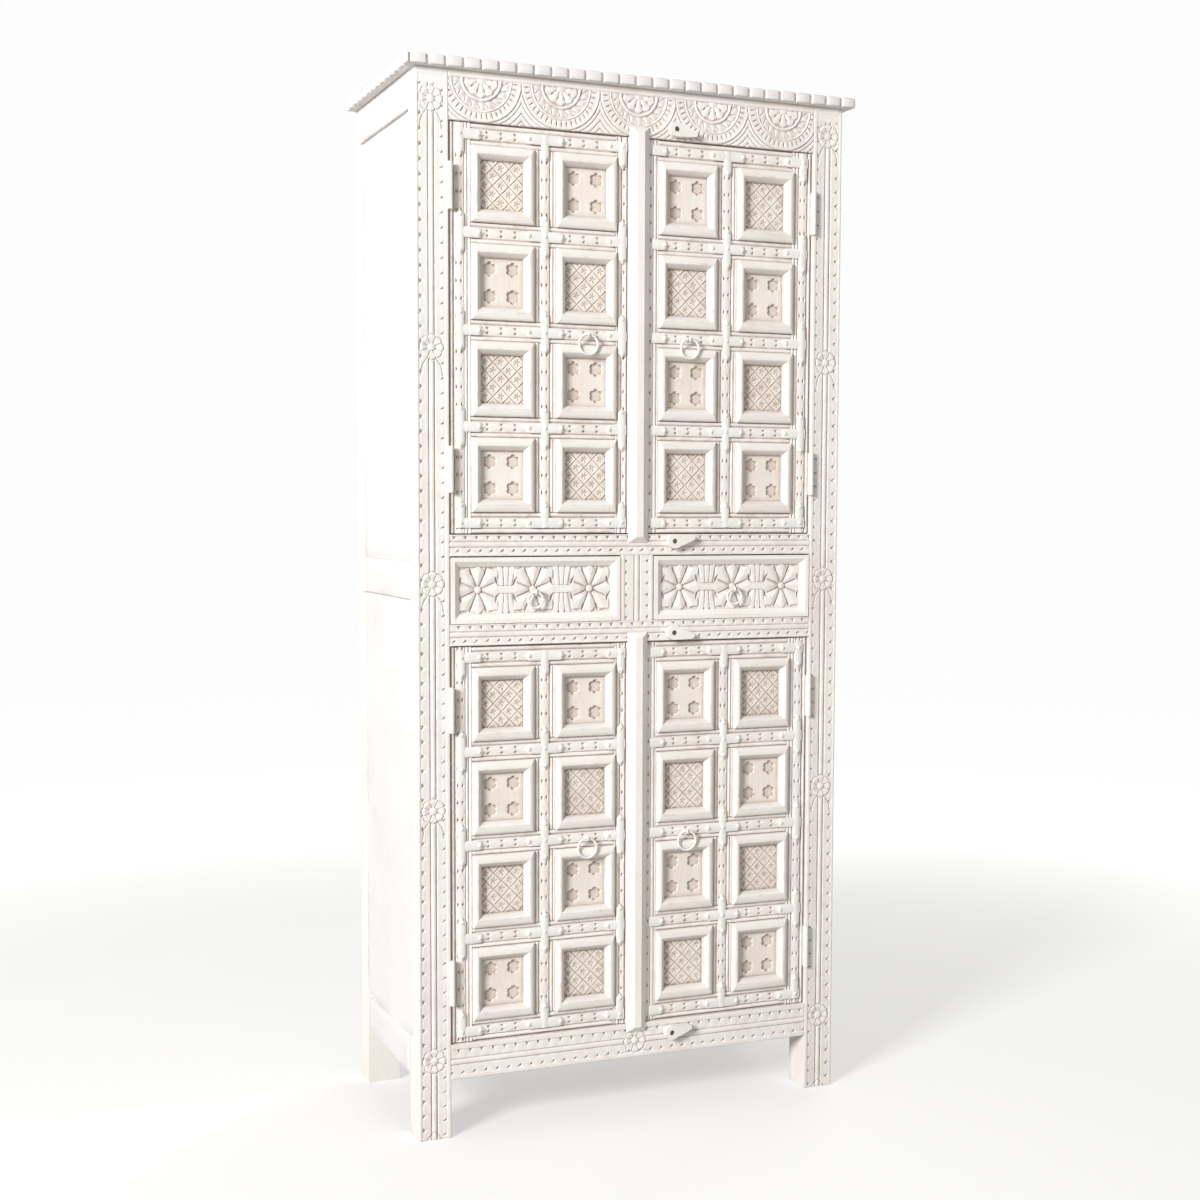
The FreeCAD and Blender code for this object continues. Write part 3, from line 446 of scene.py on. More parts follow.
def rail_relief(middle):
    def relief(x, z):
        depth = strip_profile(z - middle, x, ((-16.4, -10.6), (10.6, 16.4)), pitch=24.5, start=0)
        return uneven(depth, x, z, 24, 34)

    return relief


# Inset boards

def lattice_relief(centre_x, centre_z):
    """Crossing grooves with raised lips, and a small cluster of leaf cuts in each diamond."""
    cell = 28.5

    def relief(x, z):
        u, v = x - centre_x, z - centre_z
        depth = 0.9 + 0.6 * lattice_noise(x, z, 5, 43)
        for shift in (0, cell / 2):
            du = repeated(u - shift, 0, cell)
            dv = repeated(v - shift, 0, cell)
            for angle in (20, 80, 140, 205, 290):
                turn = math.radians(angle)
                leaf = lens(du - 3.3 * math.cos(turn), dv - 3.3 * math.sin(turn), 6.4, 2.9, angle, 2.6)
                depth = np.maximum(depth, 0.7 + leaf * (leaf > 0))
        for way in (-1, 1):
            line = repeated(v + way * u, cell / 2, cell)
            distance = np.abs(line) / math.sqrt(2)
            depth -= 0.6 * clamp(1 - np.abs(distance - 1.9) / 1.0)
            depth = np.maximum(depth, 0.4 + vee(distance, 1.5, 2.9) * (distance < 1.5))
        return uneven(depth, x, z, 9, 41, 0.3)

    return relief


def sunk_flowers_relief(centre_x, centre_z):
    """Four sunk six-lobed flowers in a flat board."""
    def relief(x, z):
        u, v = np.abs(x - centre_x) - 20.5, np.abs(z - centre_z) - 22.5
        room = 8.3 - np.hypot(u, v)
        for index in range(6):
            turn = math.radians(60 * index + 30)
            lobe = 4.3 - np.hypot(u - 7.6 * math.cos(turn), v - 7.6 * math.sin(turn))
            room = np.maximum(room, lobe)
        sunk = clamp(room / 0.6 + 0.5)
        depth = 0.3 + 3.6 * sunk + vee(np.hypot(u, v), 1.3, 0.8)
        return uneven(depth, x, z, 15, 42)

    return relief


def linked(name, data):
    """A new object in the scene."""
    item = bpy.data.objects.new(name, data)
    bpy.context.scene.collection.objects.link(item)
    return item


class Carving:
    """Collects the faces of one piece and makes its mesh."""

    def __init__(self):
        self.points, self.faces, self.smooth = [], [], []
        self.wash, self.wear, self.grain = [], [], []
        self.count = 0

    def add(self, points, faces, wash, wear, along, smooth=True):
        """Adds points in mm; along is the axis number of the grain."""
        self.points.append(points)
        self.faces.append(faces + self.count)
        self.smooth.append(np.full(len(faces), smooth))
        self.wash.append(wash)
        self.wear.append(wear)
        order = {0: (0, 1, 2), 1: (1, 2, 0), 2: (2, 0, 1)}[along]
        shift = 37.0 * (len(self.points) % 97)
        self.grain.append((points[:, order] + np.array((shift, 0, shift))) * MM)
        self.count += len(points)

    def grid(self, points, along, flip=False, wash=None, wear=None):
        """Adds a rows x columns x 3 grid as quads; without tint with painted shade and without wear it is
        plain.
        """
        rows, columns = points.shape[:2]
        index = np.arange(rows * columns).reshape(rows, columns)
        corners = (index[:-1, :-1], index[:-1, 1:], index[1:, 1:], index[1:, :-1])
        quads = np.stack(corners, -1).reshape(-1, 4)
        if flip:
            quads = quads[:, ::-1]
        wash, wear = [np.zeros(index.size) if field is None else field.reshape(-1) for field in (wash, wear)]
        self.add(points.reshape(-1, 3), quads, wash, wear, along)

    def slab(self, x0, x1, z0, z1, front, back, relief, along, step, rounding=1.0, border=0.0):
        """A board whose front face carries a relief, with a tint in its cuts that is partly painted shade; a
        border of a given width gets painted shade.
        """
        columns = max(3, int(round((x1 - x0) / step)))
        rows = max(3, int(round((z1 - z0) / step)))
        x, z = np.meshgrid(np.linspace(x0, x1, columns + 1), np.linspace(z0, z1, rows + 1))
        depth = relief(x, z)
        edge = np.minimum(np.minimum(x - x0, x1 - x), np.minimum(z - z0, z1 - z))
        bend = np.clip(rounding - edge, 0, rounding)
        depth = depth + rounding - np.sqrt(rounding ** 2 - bend ** 2)
        depth = np.clip(depth, 0, (back - front) * 0.8)
        around = blurred(depth, max(1, int(2.6 / step)))
        # Darker in cuts and deep hollows: partly the limewash's own brown tint in the grooves, partly
        # painted shade that deepens with depth.
        wash = clamp(depth - around - 0.1) * 0.8 + clamp((depth - 1.6) / 1.8) * 0.5
        # Darker towards the border of an inset: painted shade where the mouldings overhang it.
        if border:
            wash = wash + 0.55 * clamp(1 - edge / border)
        wear = clamp((around - depth) / 0.8)
        face = np.stack((x, front + depth, z), -1)
        self.grid(face, along, False, wash, wear)
        for line in (face[0], face[-1, ::-1], face[::-1, 0], face[:, -1]):
            wall = np.stack((line, line))
            wall[1, :, 1] = back
            self.grid(wall, along, True)
        ends = np.array(((x0, back, z0), (x1, back, z0), (x1, back, z1), (x0, back, z1)))
        self.add(ends, np.array(((3, 2, 1, 0),)), np.zeros(4), np.zeros(4), along, smooth=False)

    def board(self, low, high, along=None, rounding=1.4, sag=0.25):
        """A plain bar with rounded, slightly uneven edges."""
        low, high = np.array(low, float), np.array(high, float)
        span = high - low
        if along is None:
            along = int(np.argmax(span))
        rounding = min(rounding, span.min() * 0.45)

        def cuts(length):
            near = rounding * np.array((0, 0.3, 0.65, 1.0))
            inner = np.linspace(rounding, length - rounding, max(2, int(length / 18)) + 1)[1:-1]
            return np.concatenate((near, inner, length - near[::-1]))

        for axis in range(3):
            a, b = [other for other in range(3) if other != axis]
            first, second = np.meshgrid(low[a] + cuts(span[a]), low[b] + cuts(span[b]))
            for end in (0, 1):
                points = np.empty(first.shape + (3,))
                points[..., a], points[..., b] = first, second
                points[..., axis] = (low, high)[end][axis]
                core = np.clip(points, low + rounding, high - rounding)
                away = points - core
                length = np.linalg.norm(away, axis=-1, keepdims=True)
                shift = np.clip(sag * (lattice_noise(first, second, 45, 51 + axis) + 0.5), 0, sag)
                rounded = np.count_nonzero(np.abs(away) > 1e-6, axis=-1) > 1
                points = core + away / length * (rounding - (shift * rounded)[..., None])
                rim = np.minimum(first - low[a], high[a] - first)
                rim = np.minimum(rim, np.minimum(second - low[b], high[b] - second))
                wear = clamp(1 - rim / (rounding * 1.6))
                self.grid(points, along, (end == 0) ^ (axis == 1), None, wear)

    def build(self, name, body, material, nodes=(), slot="carved_wood"):
        mesh = bpy.data.meshes.new(name)
        points, faces = np.concatenate(self.points) * MM, np.concatenate(self.faces)
        mesh.vertices.add(len(points))
        mesh.vertices.foreach_set("co", points.ravel())
        mesh.loops.add(faces.size)
        mesh.loops.foreach_set("vertex_index", faces.ravel().astype(np.int32))
        mesh.polygons.add(len(faces))
        mesh.polygons.foreach_set("loop_start", np.arange(0, faces.size, 4, dtype=np.int32))
        mesh.polygons.foreach_set("use_smooth", np.concatenate(self.smooth))
        mesh.update(calc_edges=True)
        for key, values in (("wash", self.wash), ("wear", self.wear)):
            mesh.attributes.new(key, "FLOAT", "POINT").data.foreach_set("value", np.concatenate(values))
        grain = mesh.attributes.new("grain", "FLOAT_VECTOR", "POINT")
        grain.data.foreach_set("vector", np.concatenate(self.grain).ravel())
        piece = linked(name, mesh)
        mesh.materials.append(material)
        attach(piece, body)
        if nodes:
            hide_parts(*nodes)


# Materials

class Shader:
    """A small helper for building node trees."""

    def __init__(self, name):
        self.material = bpy.data.materials.new(name)
        self.material.use_nodes = True
        self.tree = self.material.node_tree
        self.surface = self.tree.nodes["Principled BSDF"]

    def node(self, kind, inputs=None, **settings):
        node = self.tree.nodes.new(kind)
        for key, value in settings.items():
            setattr(node, key, value)
        for key, value in (inputs or {}).items():
            if isinstance(value, bpy.types.NodeSocket):
                self.tree.links.new(value, node.inputs[key])
            else:
                node.inputs[key].default_value = value
        return node

    def attribute(self, name, output):
        return self.node("ShaderNodeAttribute", attribute_name=name).outputs[output]

    def noise(self, place, scale, detail, roughness):
        return self.node("ShaderNodeTexNoise", {"Vector": place, "Scale": scale, "Detail": detail,
                                                "Roughness": roughness}).outputs["Fac"]

    def stretched(self, place, scale):
        return self.node("ShaderNodeMapping", {"Vector": place, "Scale": scale}).outputs["Vector"]

    def ramp(self, value, stops):
        node = self.node("ShaderNodeValToRGB", {"Fac": value})
        while len(node.color_ramp.elements) < len(stops):
            node.color_ramp.elements.new(0.5)
        for element, (position, colour) in zip(node.color_ramp.elements, stops):
            element.position = position
            element.color = (*colour, 1.0)
        return node.outputs["Color"]

    def limits(self, value, low, high, to_low=0.0, to_high=1.0):
        return self.node("ShaderNodeMapRange", {"Value": value, "From Min": low, "From Max": high,
                                                "To Min": to_low, "To Max": to_high}).outputs["Result"]

    def math(self, operation, first, second):
        return self.node("ShaderNodeMath", {0: first, 1: second}, operation=operation).outputs["Value"]

    def blend(self, first, first_share, second, second_share):
        """The sum of two values, each times its share."""
        second = self.math("MULTIPLY", second, second_share)
        return self.math("ADD", self.math("MULTIPLY", first, first_share), second)

    def mix(self, factor, first, second):
        node = self.node("ShaderNodeMix", data_type="RGBA")
        for socket, value in ((node.inputs[0], factor), (node.inputs[6], first), (node.inputs[7], second)):
            if isinstance(value, bpy.types.NodeSocket):
                self.tree.links.new(value, socket)
            else:
                socket.default_value = (*value, 1.0) if isinstance(value, tuple) else value
        return node.outputs[2]

    def finish(self, colour, roughness, height, strength, distance):
        """Joins the colour, the roughness and a bump to the surface."""
        bump = self.node("ShaderNodeBump", {"Height": height, "Strength": strength, "Distance": distance})
        joined = {"Base Color": colour, "Roughness": roughness, "Normal": bump.outputs["Normal"]}
        for name, value in joined.items():
            self.tree.links.new(value, self.surface.inputs[name])
        return self.material


def limewashed_wood(name, light, middle, dark, tint_and_shade_colour, wood, show_wood, plain=False, seed=0.0):
    """Brushed off-white limewash over wood: tinted in the cuts, partly as painted shade, rubbed through on
    the edges.
    """
    shader = Shader(name)
    if plain:
        place = shader.node("ShaderNodeTexCoord").outputs["Object"]
        along = shader.stretched(place, (1.0, 1.0, 0.1))
    else:
        place = shader.attribute("grain", "Vector")
        along = shader.stretched(place, (0.1, 1.0, 1.0))
    moved = shader.node("ShaderNodeVectorMath", {0: place, 1: (seed,) * 3}, operation="ADD")
    moved = moved.outputs["Vector"]
    streaks = shader.noise(along, 260.0, 4.0, 0.6)
    clouds = shader.noise(moved, 9.0, 3.0, 0.5)
    patches = shader.noise(moved, 42.0, 4.0, 0.6)
    brushed = shader.blend(streaks, 0.45, clouds, 0.55)
    paint = shader.ramp(brushed, ((0.3, dark), (0.46, middle), (0.62, light)))
    # The tint of the cuts follows the depth mask, so it is partly painted shade.
    tint_and_shade_share = shader.limits(patches, 0.25, 0.75, 0.4, 0.85)
    tint_and_shade_share = shader.math("MULTIPLY", shader.attribute("wash", "Fac"), tint_and_shade_share)
    rub = shader.math("MULTIPLY", shader.attribute("wear", "Fac"), shader.limits(patches, 0.5, 0.68))
    spots = shader.limits(shader.noise(along, 120.0, 5.0, 0.65), 0.68, 0.78, 0.0, 0.35)
    bare = shader.math("MULTIPLY", shader.math("MAXIMUM", rub, spots), show_wood)
    colour = shader.mix(bare, shader.mix(tint_and_shade_share, paint, tint_and_shade_colour), wood)
    rough = shader.limits(streaks, 0.3, 0.7, 0.52, 0.72)
    return shader.finish(colour, rough, shader.blend(streaks, 0.7, patches, 0.6), 0.35, 0.0006)


def bare_wood(name, light, dark):
    """Sawn wood of the inside, with long grain and soft rings."""
    shader = Shader(name)
    place = shader.node("ShaderNodeTexCoord").outputs["Object"]
    along = shader.stretched(place, (0.12, 1.0, 1.0))
    grain = shader.noise(along, 120.0, 5.0, 0.6)
    rings = shader.noise(along, 18.0, 2.0, 0.4)
    colour = shader.ramp(shader.blend(grain, 0.5, rings, 0.5), ((0.32, dark), (0.66, light)))
    rough = shader.limits(grain, 0.3, 0.7, 0.6, 0.8)
    return shader.finish(colour, rough, grain, 0.4, 0.0008)


def painted_iron(name, light, dark, rust):
    """Hand-forged iron under brushed paint, with specks of rust showing through it."""
    shader = Shader(name)
    place = shader.node("ShaderNodeTexCoord").outputs["Object"]
    dents = shader.noise(place, 160.0, 3.0, 0.5)
    clouds = shader.noise(place, 30.0, 3.0, 0.5)
    specks = shader.limits(shader.noise(place, 420.0, 4.0, 0.6), 0.66, 0.74, 0.0, 0.5)
    colour = shader.mix(specks, shader.ramp(clouds, ((0.35, dark), (0.62, light))), rust)
    rough = shader.limits(clouds, 0.3, 0.7, 0.38, 0.55)
    return shader.finish(colour, rough, dents, 0.5, 0.0007)


# Each material's tint colour darkens its cuts: partly the limewash's own tint, partly painted shade.
CARVED = limewashed_wood("carved_limewash", light=(0.85, 0.815, 0.775), middle=(0.81, 0.77, 0.725),
                         dark=(0.75, 0.70, 0.65), tint_and_shade_colour=(0.42, 0.325, 0.275), wood=(0.50, 0.38, 0.30),
                         show_wood=0.45)
PLAIN = limewashed_wood("plain_limewash", light=(0.80, 0.77, 0.765), middle=(0.765, 0.735, 0.725),
                        dark=(0.715, 0.68, 0.665), tint_and_shade_colour=(0.45, 0.36, 0.28), wood=(0.52, 0.38, 0.28),
                        show_wood=0.4, seed=3.0)
INSET = limewashed_wood("inset_limewash", light=(0.82, 0.765, 0.705), middle=(0.78, 0.71, 0.64),
                        dark=(0.71, 0.62, 0.54), tint_and_shade_colour=(0.40, 0.29, 0.23), wood=(0.45, 0.32, 0.24),
                        show_wood=0.6, seed=5.0)
# For CAD pieces, which carry no grain, cut tint with painted shade, or wear of their own
PLAIN_CAD = limewashed_wood("soft_limewash", light=(0.88, 0.85, 0.80), middle=(0.84, 0.80, 0.745),
                            dark=(0.78, 0.73, 0.665), tint_and_shade_colour=(0.45, 0.36, 0.28), wood=(0.50, 0.37, 0.27),
                            show_wood=0.5, plain=True)
INNER = bare_wood("inner_wood", (0.50, 0.36, 0.235), (0.33, 0.21, 0.125))
IRON = painted_iron("painted_iron", (0.84, 0.825, 0.79), (0.79, 0.77, 0.73), (0.33, 0.21, 0.14))
# Near-black screw heads: partly the iron's own dark, partly painted shade of the deep screw holes they sit
# in.
SHADED_SCREW_IRON = painted_iron("shaded_screw_iron", (0.10, 0.08, 0.07), (0.05, 0.04, 0.035), (0.16, 0.07, 0.04))


def loose_boxes(node):
    """Low and high corners, in mm, of each separate solid of a CAD node."""
    mesh = NODES[node].data
    points = np.empty(len(mesh.vertices) * 3)
    mesh.vertices.foreach_get("co", points)
    points = points.reshape(-1, 3)
    world = np.array(NODES[node].matrix_world)
    points = points @ world[:3, :3].T + world[:3, 3]
    keys = {}
    place = np.array([keys.setdefault(tuple(np.round(point, 6)), len(keys)) for point in points])
    parent = list(range(len(keys)))

    def top(item):
        while parent[item] != item:
            parent[item] = parent[parent[item]]
            item = parent[item]
        return item

    for edge in mesh.edges:
        a, b = top(place[edge.vertices[0]]), top(place[edge.vertices[1]])
        if a != b:
            parent[a] = b
    groups = {}
    for index in range(len(points)):
        groups.setdefault(top(place[index]), []).append(index)
    return [(points[rows].min(0) / MM, points[rows].max(0) / MM) for rows in groups.values()]


def plain_boards(node, rounding):
    """Limewashed boards with soft edges in the place of a node's plain ones."""
    work = Carving()
    for low, high in loose_boxes(node):
        work.board(low, high, rounding=rounding)
    work.build("soft_" + node, "case", PLAIN, (node,))


# The case

def sided(side, near, far):
    """Two places on the left or right half, from low to high."""
    return (near, far) if side > 0 else (-far, -near)


def front_post(side, node):
    """A carved post whose back is rebated for the side panels."""
    work = Carving()
    x0, x1 = sided(side, HALF_OPENING, HALF_CASE)
    work.slab(x0, x1, 0, POST_TOP, FRONT, CARVED_POST_BACK, post_relief, 2, step=1.05)
    x0, x1 = sided(side, HALF_OPENING, PANEL_REBATE)
    work.board((x0, CARVED_POST_BACK, 0), (x1, POST_BACK, POST_TOP), 2, 0.8)
    x0, x1 = sided(side, PANEL_REBATE, HALF_CASE)
    for z0, z1 in POST_BLOCKS:
        work.board((x0, CARVED_POST_BACK, z0), (x1, POST_BACK, z1), 2, 0.8)
    work.build("carved_" + node, "case", CARVED, (node,))


def front_rails(name, node, back, step, *rails):
    """Rails across the opening; each gives its low and high level and its relief."""
    work = Carving()
    for low, high, relief in rails:
        work.slab(-HALF_OPENING, HALF_OPENING, low, high, FRONT, back, relief, 0, step)
    work.build(name, "case", CARVED, (node,))


def drawer_divider():
    work, half = Carving(), HALF_DIVIDER
    work.slab(-half, half, DRAWER_BOTTOM, DRAWER_TOP, FRONT, POST_BACK, divider_relief, 2, step=0.8)
    work.build("carved_divider", "case", CARVED, ("drawer_divider",))


NOTCH_PITCH, NOTCH_WIDTH, NOTCH_DEPTH = 30.4, 4.0, 4.5
TOP_HALF_WIDTH, TOP_HALF_DEPTH, TOP_BOTTOM, TOP_LEVEL = 412.0, 204.0, POST_TOP, 1800.0


def notched_runs(start, end):
    """The stretches of wood between the notches cut from start to end."""
    runs, here = [], start
    while here < end - NOTCH_WIDTH:
        runs.append((here, min(here + NOTCH_PITCH - NOTCH_WIDTH, end)))
        here += NOTCH_PITCH
    return runs


def top_board():
    """The top board: a core with a row of soft blocks along its front and sides."""
    work = Carving()
    soft = 2.8
    core_x, core_y = TOP_HALF_WIDTH - NOTCH_DEPTH, NOTCH_DEPTH - TOP_HALF_DEPTH
    work.board((-core_x, core_y, TOP_BOTTOM), (core_x, TOP_HALF_DEPTH, TOP_LEVEL), 0, 0.5, 0.05)
    first = -core_x + NOTCH_WIDTH / 2
    corner = (first - NOTCH_WIDTH, core_y + soft, TOP_LEVEL)
    work.board((-TOP_HALF_WIDTH, -TOP_HALF_DEPTH, TOP_BOTTOM), corner, 2, 1.0)
    for x0, x1 in notched_runs(first, TOP_HALF_WIDTH):
        work.board((x0, -TOP_HALF_DEPTH, TOP_BOTTOM), (x1, core_y + soft, TOP_LEVEL), 0, soft)
    side_first = -TOP_HALF_DEPTH + NOTCH_PITCH + NOTCH_WIDTH / 2
    for y0, y1 in [(core_y, side_first - NOTCH_WIDTH)] + notched_runs(side_first, TOP_HALF_DEPTH):
        for way in (-1, 1):
            near, far = sorted((way * (core_x - soft), way * TOP_HALF_WIDTH))
            work.board((near, y0, TOP_BOTTOM), (far, y1, TOP_LEVEL), 1, soft)
    work.build("soft_top_board", "case", PLAIN, ("top_board",))


def softened(node, width, material, segments=2):
    """Rounds the edges of a CAD node and gives it its material."""
    thing = NODES[node]
    thing.data.materials.clear()
    thing.data.materials.append(material)
    bevel = thing.modifiers.new("soft edges", "BEVEL")
    bevel.width = width * MM
    bevel.segments = segments
    bevel.limit_method = "ANGLE"
    bevel.angle_limit = math.radians(35)
    bevel.harden_normals = False


# Doors

# Places across a door, from the middle of the case; the right leaf reaches under the cover strip
STILE_EDGE, MEETING_EDGE, DOOR_EDGE = 298.5, 40.0, 335.0
LEAF_START = {-1: 20.5, 1: -18.0}
MUNTIN_EDGES = (149.0, 189.5)
COLUMNS = ((MEETING_EDGE, MUNTIN_EDGES[0]), (MUNTIN_EDGES[1], STILE_EDGE))

# Heights within a door, and the place of an end rail's carving from its inner edge
DOOR_GAP, END_RAIL, INNER_RAIL, WINDOW_HEIGHT = 2.0, 37.5, 35.0, 124.5
END_RAIL_STRIP = 18.0


def rail_heights(start):
    """The low and high edge of each of a door's five rails, from the bottom up."""
    rows = [(start + DOOR_GAP, start + END_RAIL)]
    for index in range(3):
        bottom = start + END_RAIL + WINDOW_HEIGHT * (index + 1) + INNER_RAIL * index
        rows.append((bottom, bottom + INNER_RAIL))
    rows.append((start + OPENING_HEIGHT - END_RAIL, start + OPENING_HEIGHT - DOOR_GAP))
    return rows


MOULDING_STEPS = 7.0
MOULDING_TOP = 1.5
SIDE_BORDER, SIDE_SLOPE = 17.5, 7.5
END_BORDER, END_SLOPE = 22.25, 12.25
OUTER_SHARES = ((0.42, 0.1), (0.7, 0.62), (0.93, 0.97))
INNER_SHARES = ((0.06, 0.04), (0.3, 0.23), (0.65, 0.53), (0.93, 0.80), (1.0, 1.11))
# Shares along a moulding's section, from its outer edge to its inset: painted shade at its foot and down at
# the inset, and wear on its crest.
MOULDING_SHADE_SHARES = np.array((0.35, 0.1, 0.05, 0, 0, 0, 0, 0, 0, 0, 0, 0.1, 0.25, 0.5, 0.6, 0))
WEAR_SHARES = np.array((0, 0.5, 0.7, 0.3, 0, 0, 0.6, 1, 1, 0.8, 0.4, 0, 0, 0, 0, 0))


def moulding_profile(border, slope):
    """Distance in from the edge and level of a moulding's section, from its outer edge to its inset."""
    back, crest, edge = DOOR_FRONT + 4, DOOR_FRONT - 8, DOOR_FRONT - 7
    outer = [(0.0, edge + 3.6), (0.5, edge + 2.4), (1.6, edge + 1.3)]
    outer += [(slope * share, edge + (crest - edge) * rise) for share, rise in OUTER_SHARES]
    top = [(slope + MOULDING_TOP * share, crest + 0.02) for share in (0.1, 0.5, 0.9)]
    start = slope + MOULDING_TOP
    fall = border - slope - MOULDING_TOP
    inner = [(start + fall * share, crest + (back - crest) * drop) for share, drop in INNER_SHARES]
    return [(0.0, back)] + outer + top + inner + [(0.0, back)]


def moulding(work, x0, x1, z0, z1, seed):
    """Four mitred lengths of moulding round a window."""
    sides = moulding_profile(SIDE_BORDER, SIDE_SLOPE)
    ends = moulding_profile(END_BORDER, END_SLOPE)
    for edge in range(4):
        along_z = edge % 2 == 1
        length = (z1 - z0) if along_z else (x1 - x0)
        shares = np.linspace(0, 1, int(length / MOULDING_STEPS) + 1)
        rows = []
        for (side_in, side_level), (end_in, end_level) in zip(sides, ends):
            left, right, low, high = x0 + side_in, x1 - side_in, z0 + end_in, z1 - end_in
            corners = ((left, low), (right, low), (right, high), (left, high))
            (from_x, from_z), (to_x, to_z) = corners[edge], corners[(edge + 1) % 4]
            x, z = from_x + (to_x - from_x) * shares, from_z + (to_z - from_z) * shares
            y = (side_level + end_level) / 2 + 0.2 * (lattice_noise(x, z, 30, seed) + 0.5)
            rows.append(np.stack((x, np.minimum(y, INSET_FRONT - 0.1), z), -1))
        wash, wear = [np.repeat(row[:, None], len(shares), 1) for row in (MOULDING_SHADE_SHARES, WEAR_SHARES)]
        work.grid(np.stack(rows), 2 if along_z else 0, False, wash, wear)


# A strap's half width and rise, and its shouldered point: ways back from the tip, and widths there
STRAP_FACE = DOOR_FRONT - 2
LEVEL_HALF, LEVEL_RISE = 8.2, 1.0
UPRIGHT_HALF, UPRIGHT_RISE = 6.7, 1.5
TIP_BACK = np.array((0.6, 2.6, 4.8, 6.2, 8.0, 10.0))
TIP_SHARES = np.array((0.05, 0.2, 0.36, 0.76, 0.95, 1.0))


def strap_crown(work, x, z, turn, reach, start=None):
    """The rounded upper side of a strap: an arm from its start to its point, or a bar with two points."""
    upright = turn % 180 == 90
    half, rise = (UPRIGHT_HALF, UPRIGHT_RISE) if upright else (LEVEL_HALF, LEVEL_RISE)
    tip = reach - TIP_BACK
    first, first_shares = (-tip, TIP_SHARES) if start is None else (np.array((start, start + 3)), np.ones(2))
    along = np.concatenate((first, tip[::-1]))
    widths = half * np.concatenate((first_shares, TIP_SHARES[::-1]))
    across = np.sin(np.linspace(-0.5, 0.5, 11) * math.pi)
    s, t = np.meshgrid(along, across, indexing="ij")
    width = np.repeat(widths[:, None], len(across), 1)
    lift = (rise + 0.4) * np.sqrt(width / half) * np.sqrt(1 - np.clip(t, -1, 1) ** 2)
    cos, sin = math.cos(math.radians(turn)), math.sin(math.radians(turn))
    px, pz = x + s * cos - t * width * sin, z + s * sin + t * width * cos
    top = np.stack((px, STRAP_FACE + 0.4 - lift, pz), -1)
    bottom = np.stack((px, np.full_like(px, STRAP_FACE + 0.4), pz), -1)
    ends = [np.stack((bottom[end], top[end])) for end in (0, -1)]
    for points, flip in ((top, True), (bottom, False), (ends[0], True), (ends[1], False)):
        work.grid(points, 2 if upright else 0, flip)


RIVET_RADIUS, RIVET_RISE = 4.3, 3.2


def rivet_head(work, x, z):
    """A closed dome that stands on a strap."""
    ring, around = np.meshgrid(np.linspace(0.02, 1, 7), np.linspace(0, 2 * math.pi, 17), indexing="ij")
    px, pz = x + RIVET_RADIUS * ring * np.cos(around), z + RIVET_RADIUS * ring * np.sin(around)
    base = np.full(ring.shape, STRAP_FACE + 0.2)
    dome = base - (RIVET_RISE + 0.2) * np.sqrt(clamp(1 - ring ** 2))
    work.grid(np.stack((px, dome, pz), -1), 0, True)
    work.grid(np.stack((px, base, pz), -1), 0)


# Middles of the upright straps, how far their level arms reach, and where the rivets sit
STILE_STRAP, MUNTIN_STRAP, LEFT_MEETING_STRAP, RIGHT_MEETING_STRAP = 318.0, 169.25, -29.5, 35.5
STILE_REACH, MUNTIN_REACH, LEFT_MEETING_REACH, RIGHT_MEETING_REACH = 41.0, 37.0, 31.5, 22.5
UPRIGHT_REACH, ARM_START, END_START = 37.5, 4.0, -8.0
RIVET_AWAY, STILE_RIVET_AWAY, LEFT_MEETING_RIVET, RIGHT_MEETING_RIVET = 29, 32, -53.0, 50.0


def strap_crowns(name, start, side):
    """The half-round look of one door's straps, with their rivets."""
    work = Carving()
    stile, muntin = side * STILE_STRAP, side * MUNTIN_STRAP
    uprights = [(stile, UPRIGHT_REACH), (muntin, MUNTIN_REACH)]
    arms = [(stile, 180 if side > 0 else 0, STILE_REACH, ARM_START)]
    arms += [(muntin, turn, MUNTIN_REACH, ARM_START) for turn in (0, 180)]
    on_arms = [stile - side * STILE_RIVET_AWAY, muntin - RIVET_AWAY, muntin + RIVET_AWAY]
    if side > 0:
        arms.append((RIGHT_MEETING_STRAP, 0, RIGHT_MEETING_REACH, END_START))
        on_arms.append(RIGHT_MEETING_RIVET)
    else:
        uprights.append((LEFT_MEETING_STRAP, UPRIGHT_REACH))
        arms.append((LEFT_MEETING_STRAP, 180, LEFT_MEETING_REACH, ARM_START))
        on_arms.append(LEFT_MEETING_RIVET)
    for row, (z0, z1) in enumerate(rail_heights(start)):
        z = (z0 + z1) / 2
        rises = {0: (RIVET_AWAY,), 4: (-RIVET_AWAY,)}.get(row, (RIVET_AWAY, -RIVET_AWAY))
        rivets = [(x, 0) for x in on_arms] + [(x, rise) for x, _ in uprights for rise in rises]
        rivets += [(x, 0) for x, _ in uprights if (x == muntin) == (len(rises) == 2)]
        for x, rise in rivets:
            rivet_head(work, x, z + rise)
        for x, turn, reach, first in arms:
            strap_crown(work, x, z, turn, reach, first)
        for x, reach in uprights:
            if row in (0, 4):
                strap_crown(work, x, z, 90 if row == 0 else 270, reach, END_START)
            else:
                strap_crown(work, x, z, 90, reach)
    work.build(name + "strap_crowns", name + "door", IRON, slot="painted_iron")


def door_stiles(name, side, bottom, top):
    stiles = Carving()
    for near, far, form in ((STILE_EDGE, DOOR_EDGE, STILE), (LEAF_START[side], MEETING_EDGE, MEETING_STILE)):
        x0, x1 = sided(side, near, far)
        stiles.slab(x0, x1, bottom, top, DOOR_FRONT, DOOR_BACK, upright_relief(side, *form), 2, step=0.95)
    stiles.build(name + "carved_stiles", name + "door", CARVED, (name + "door_frame",))


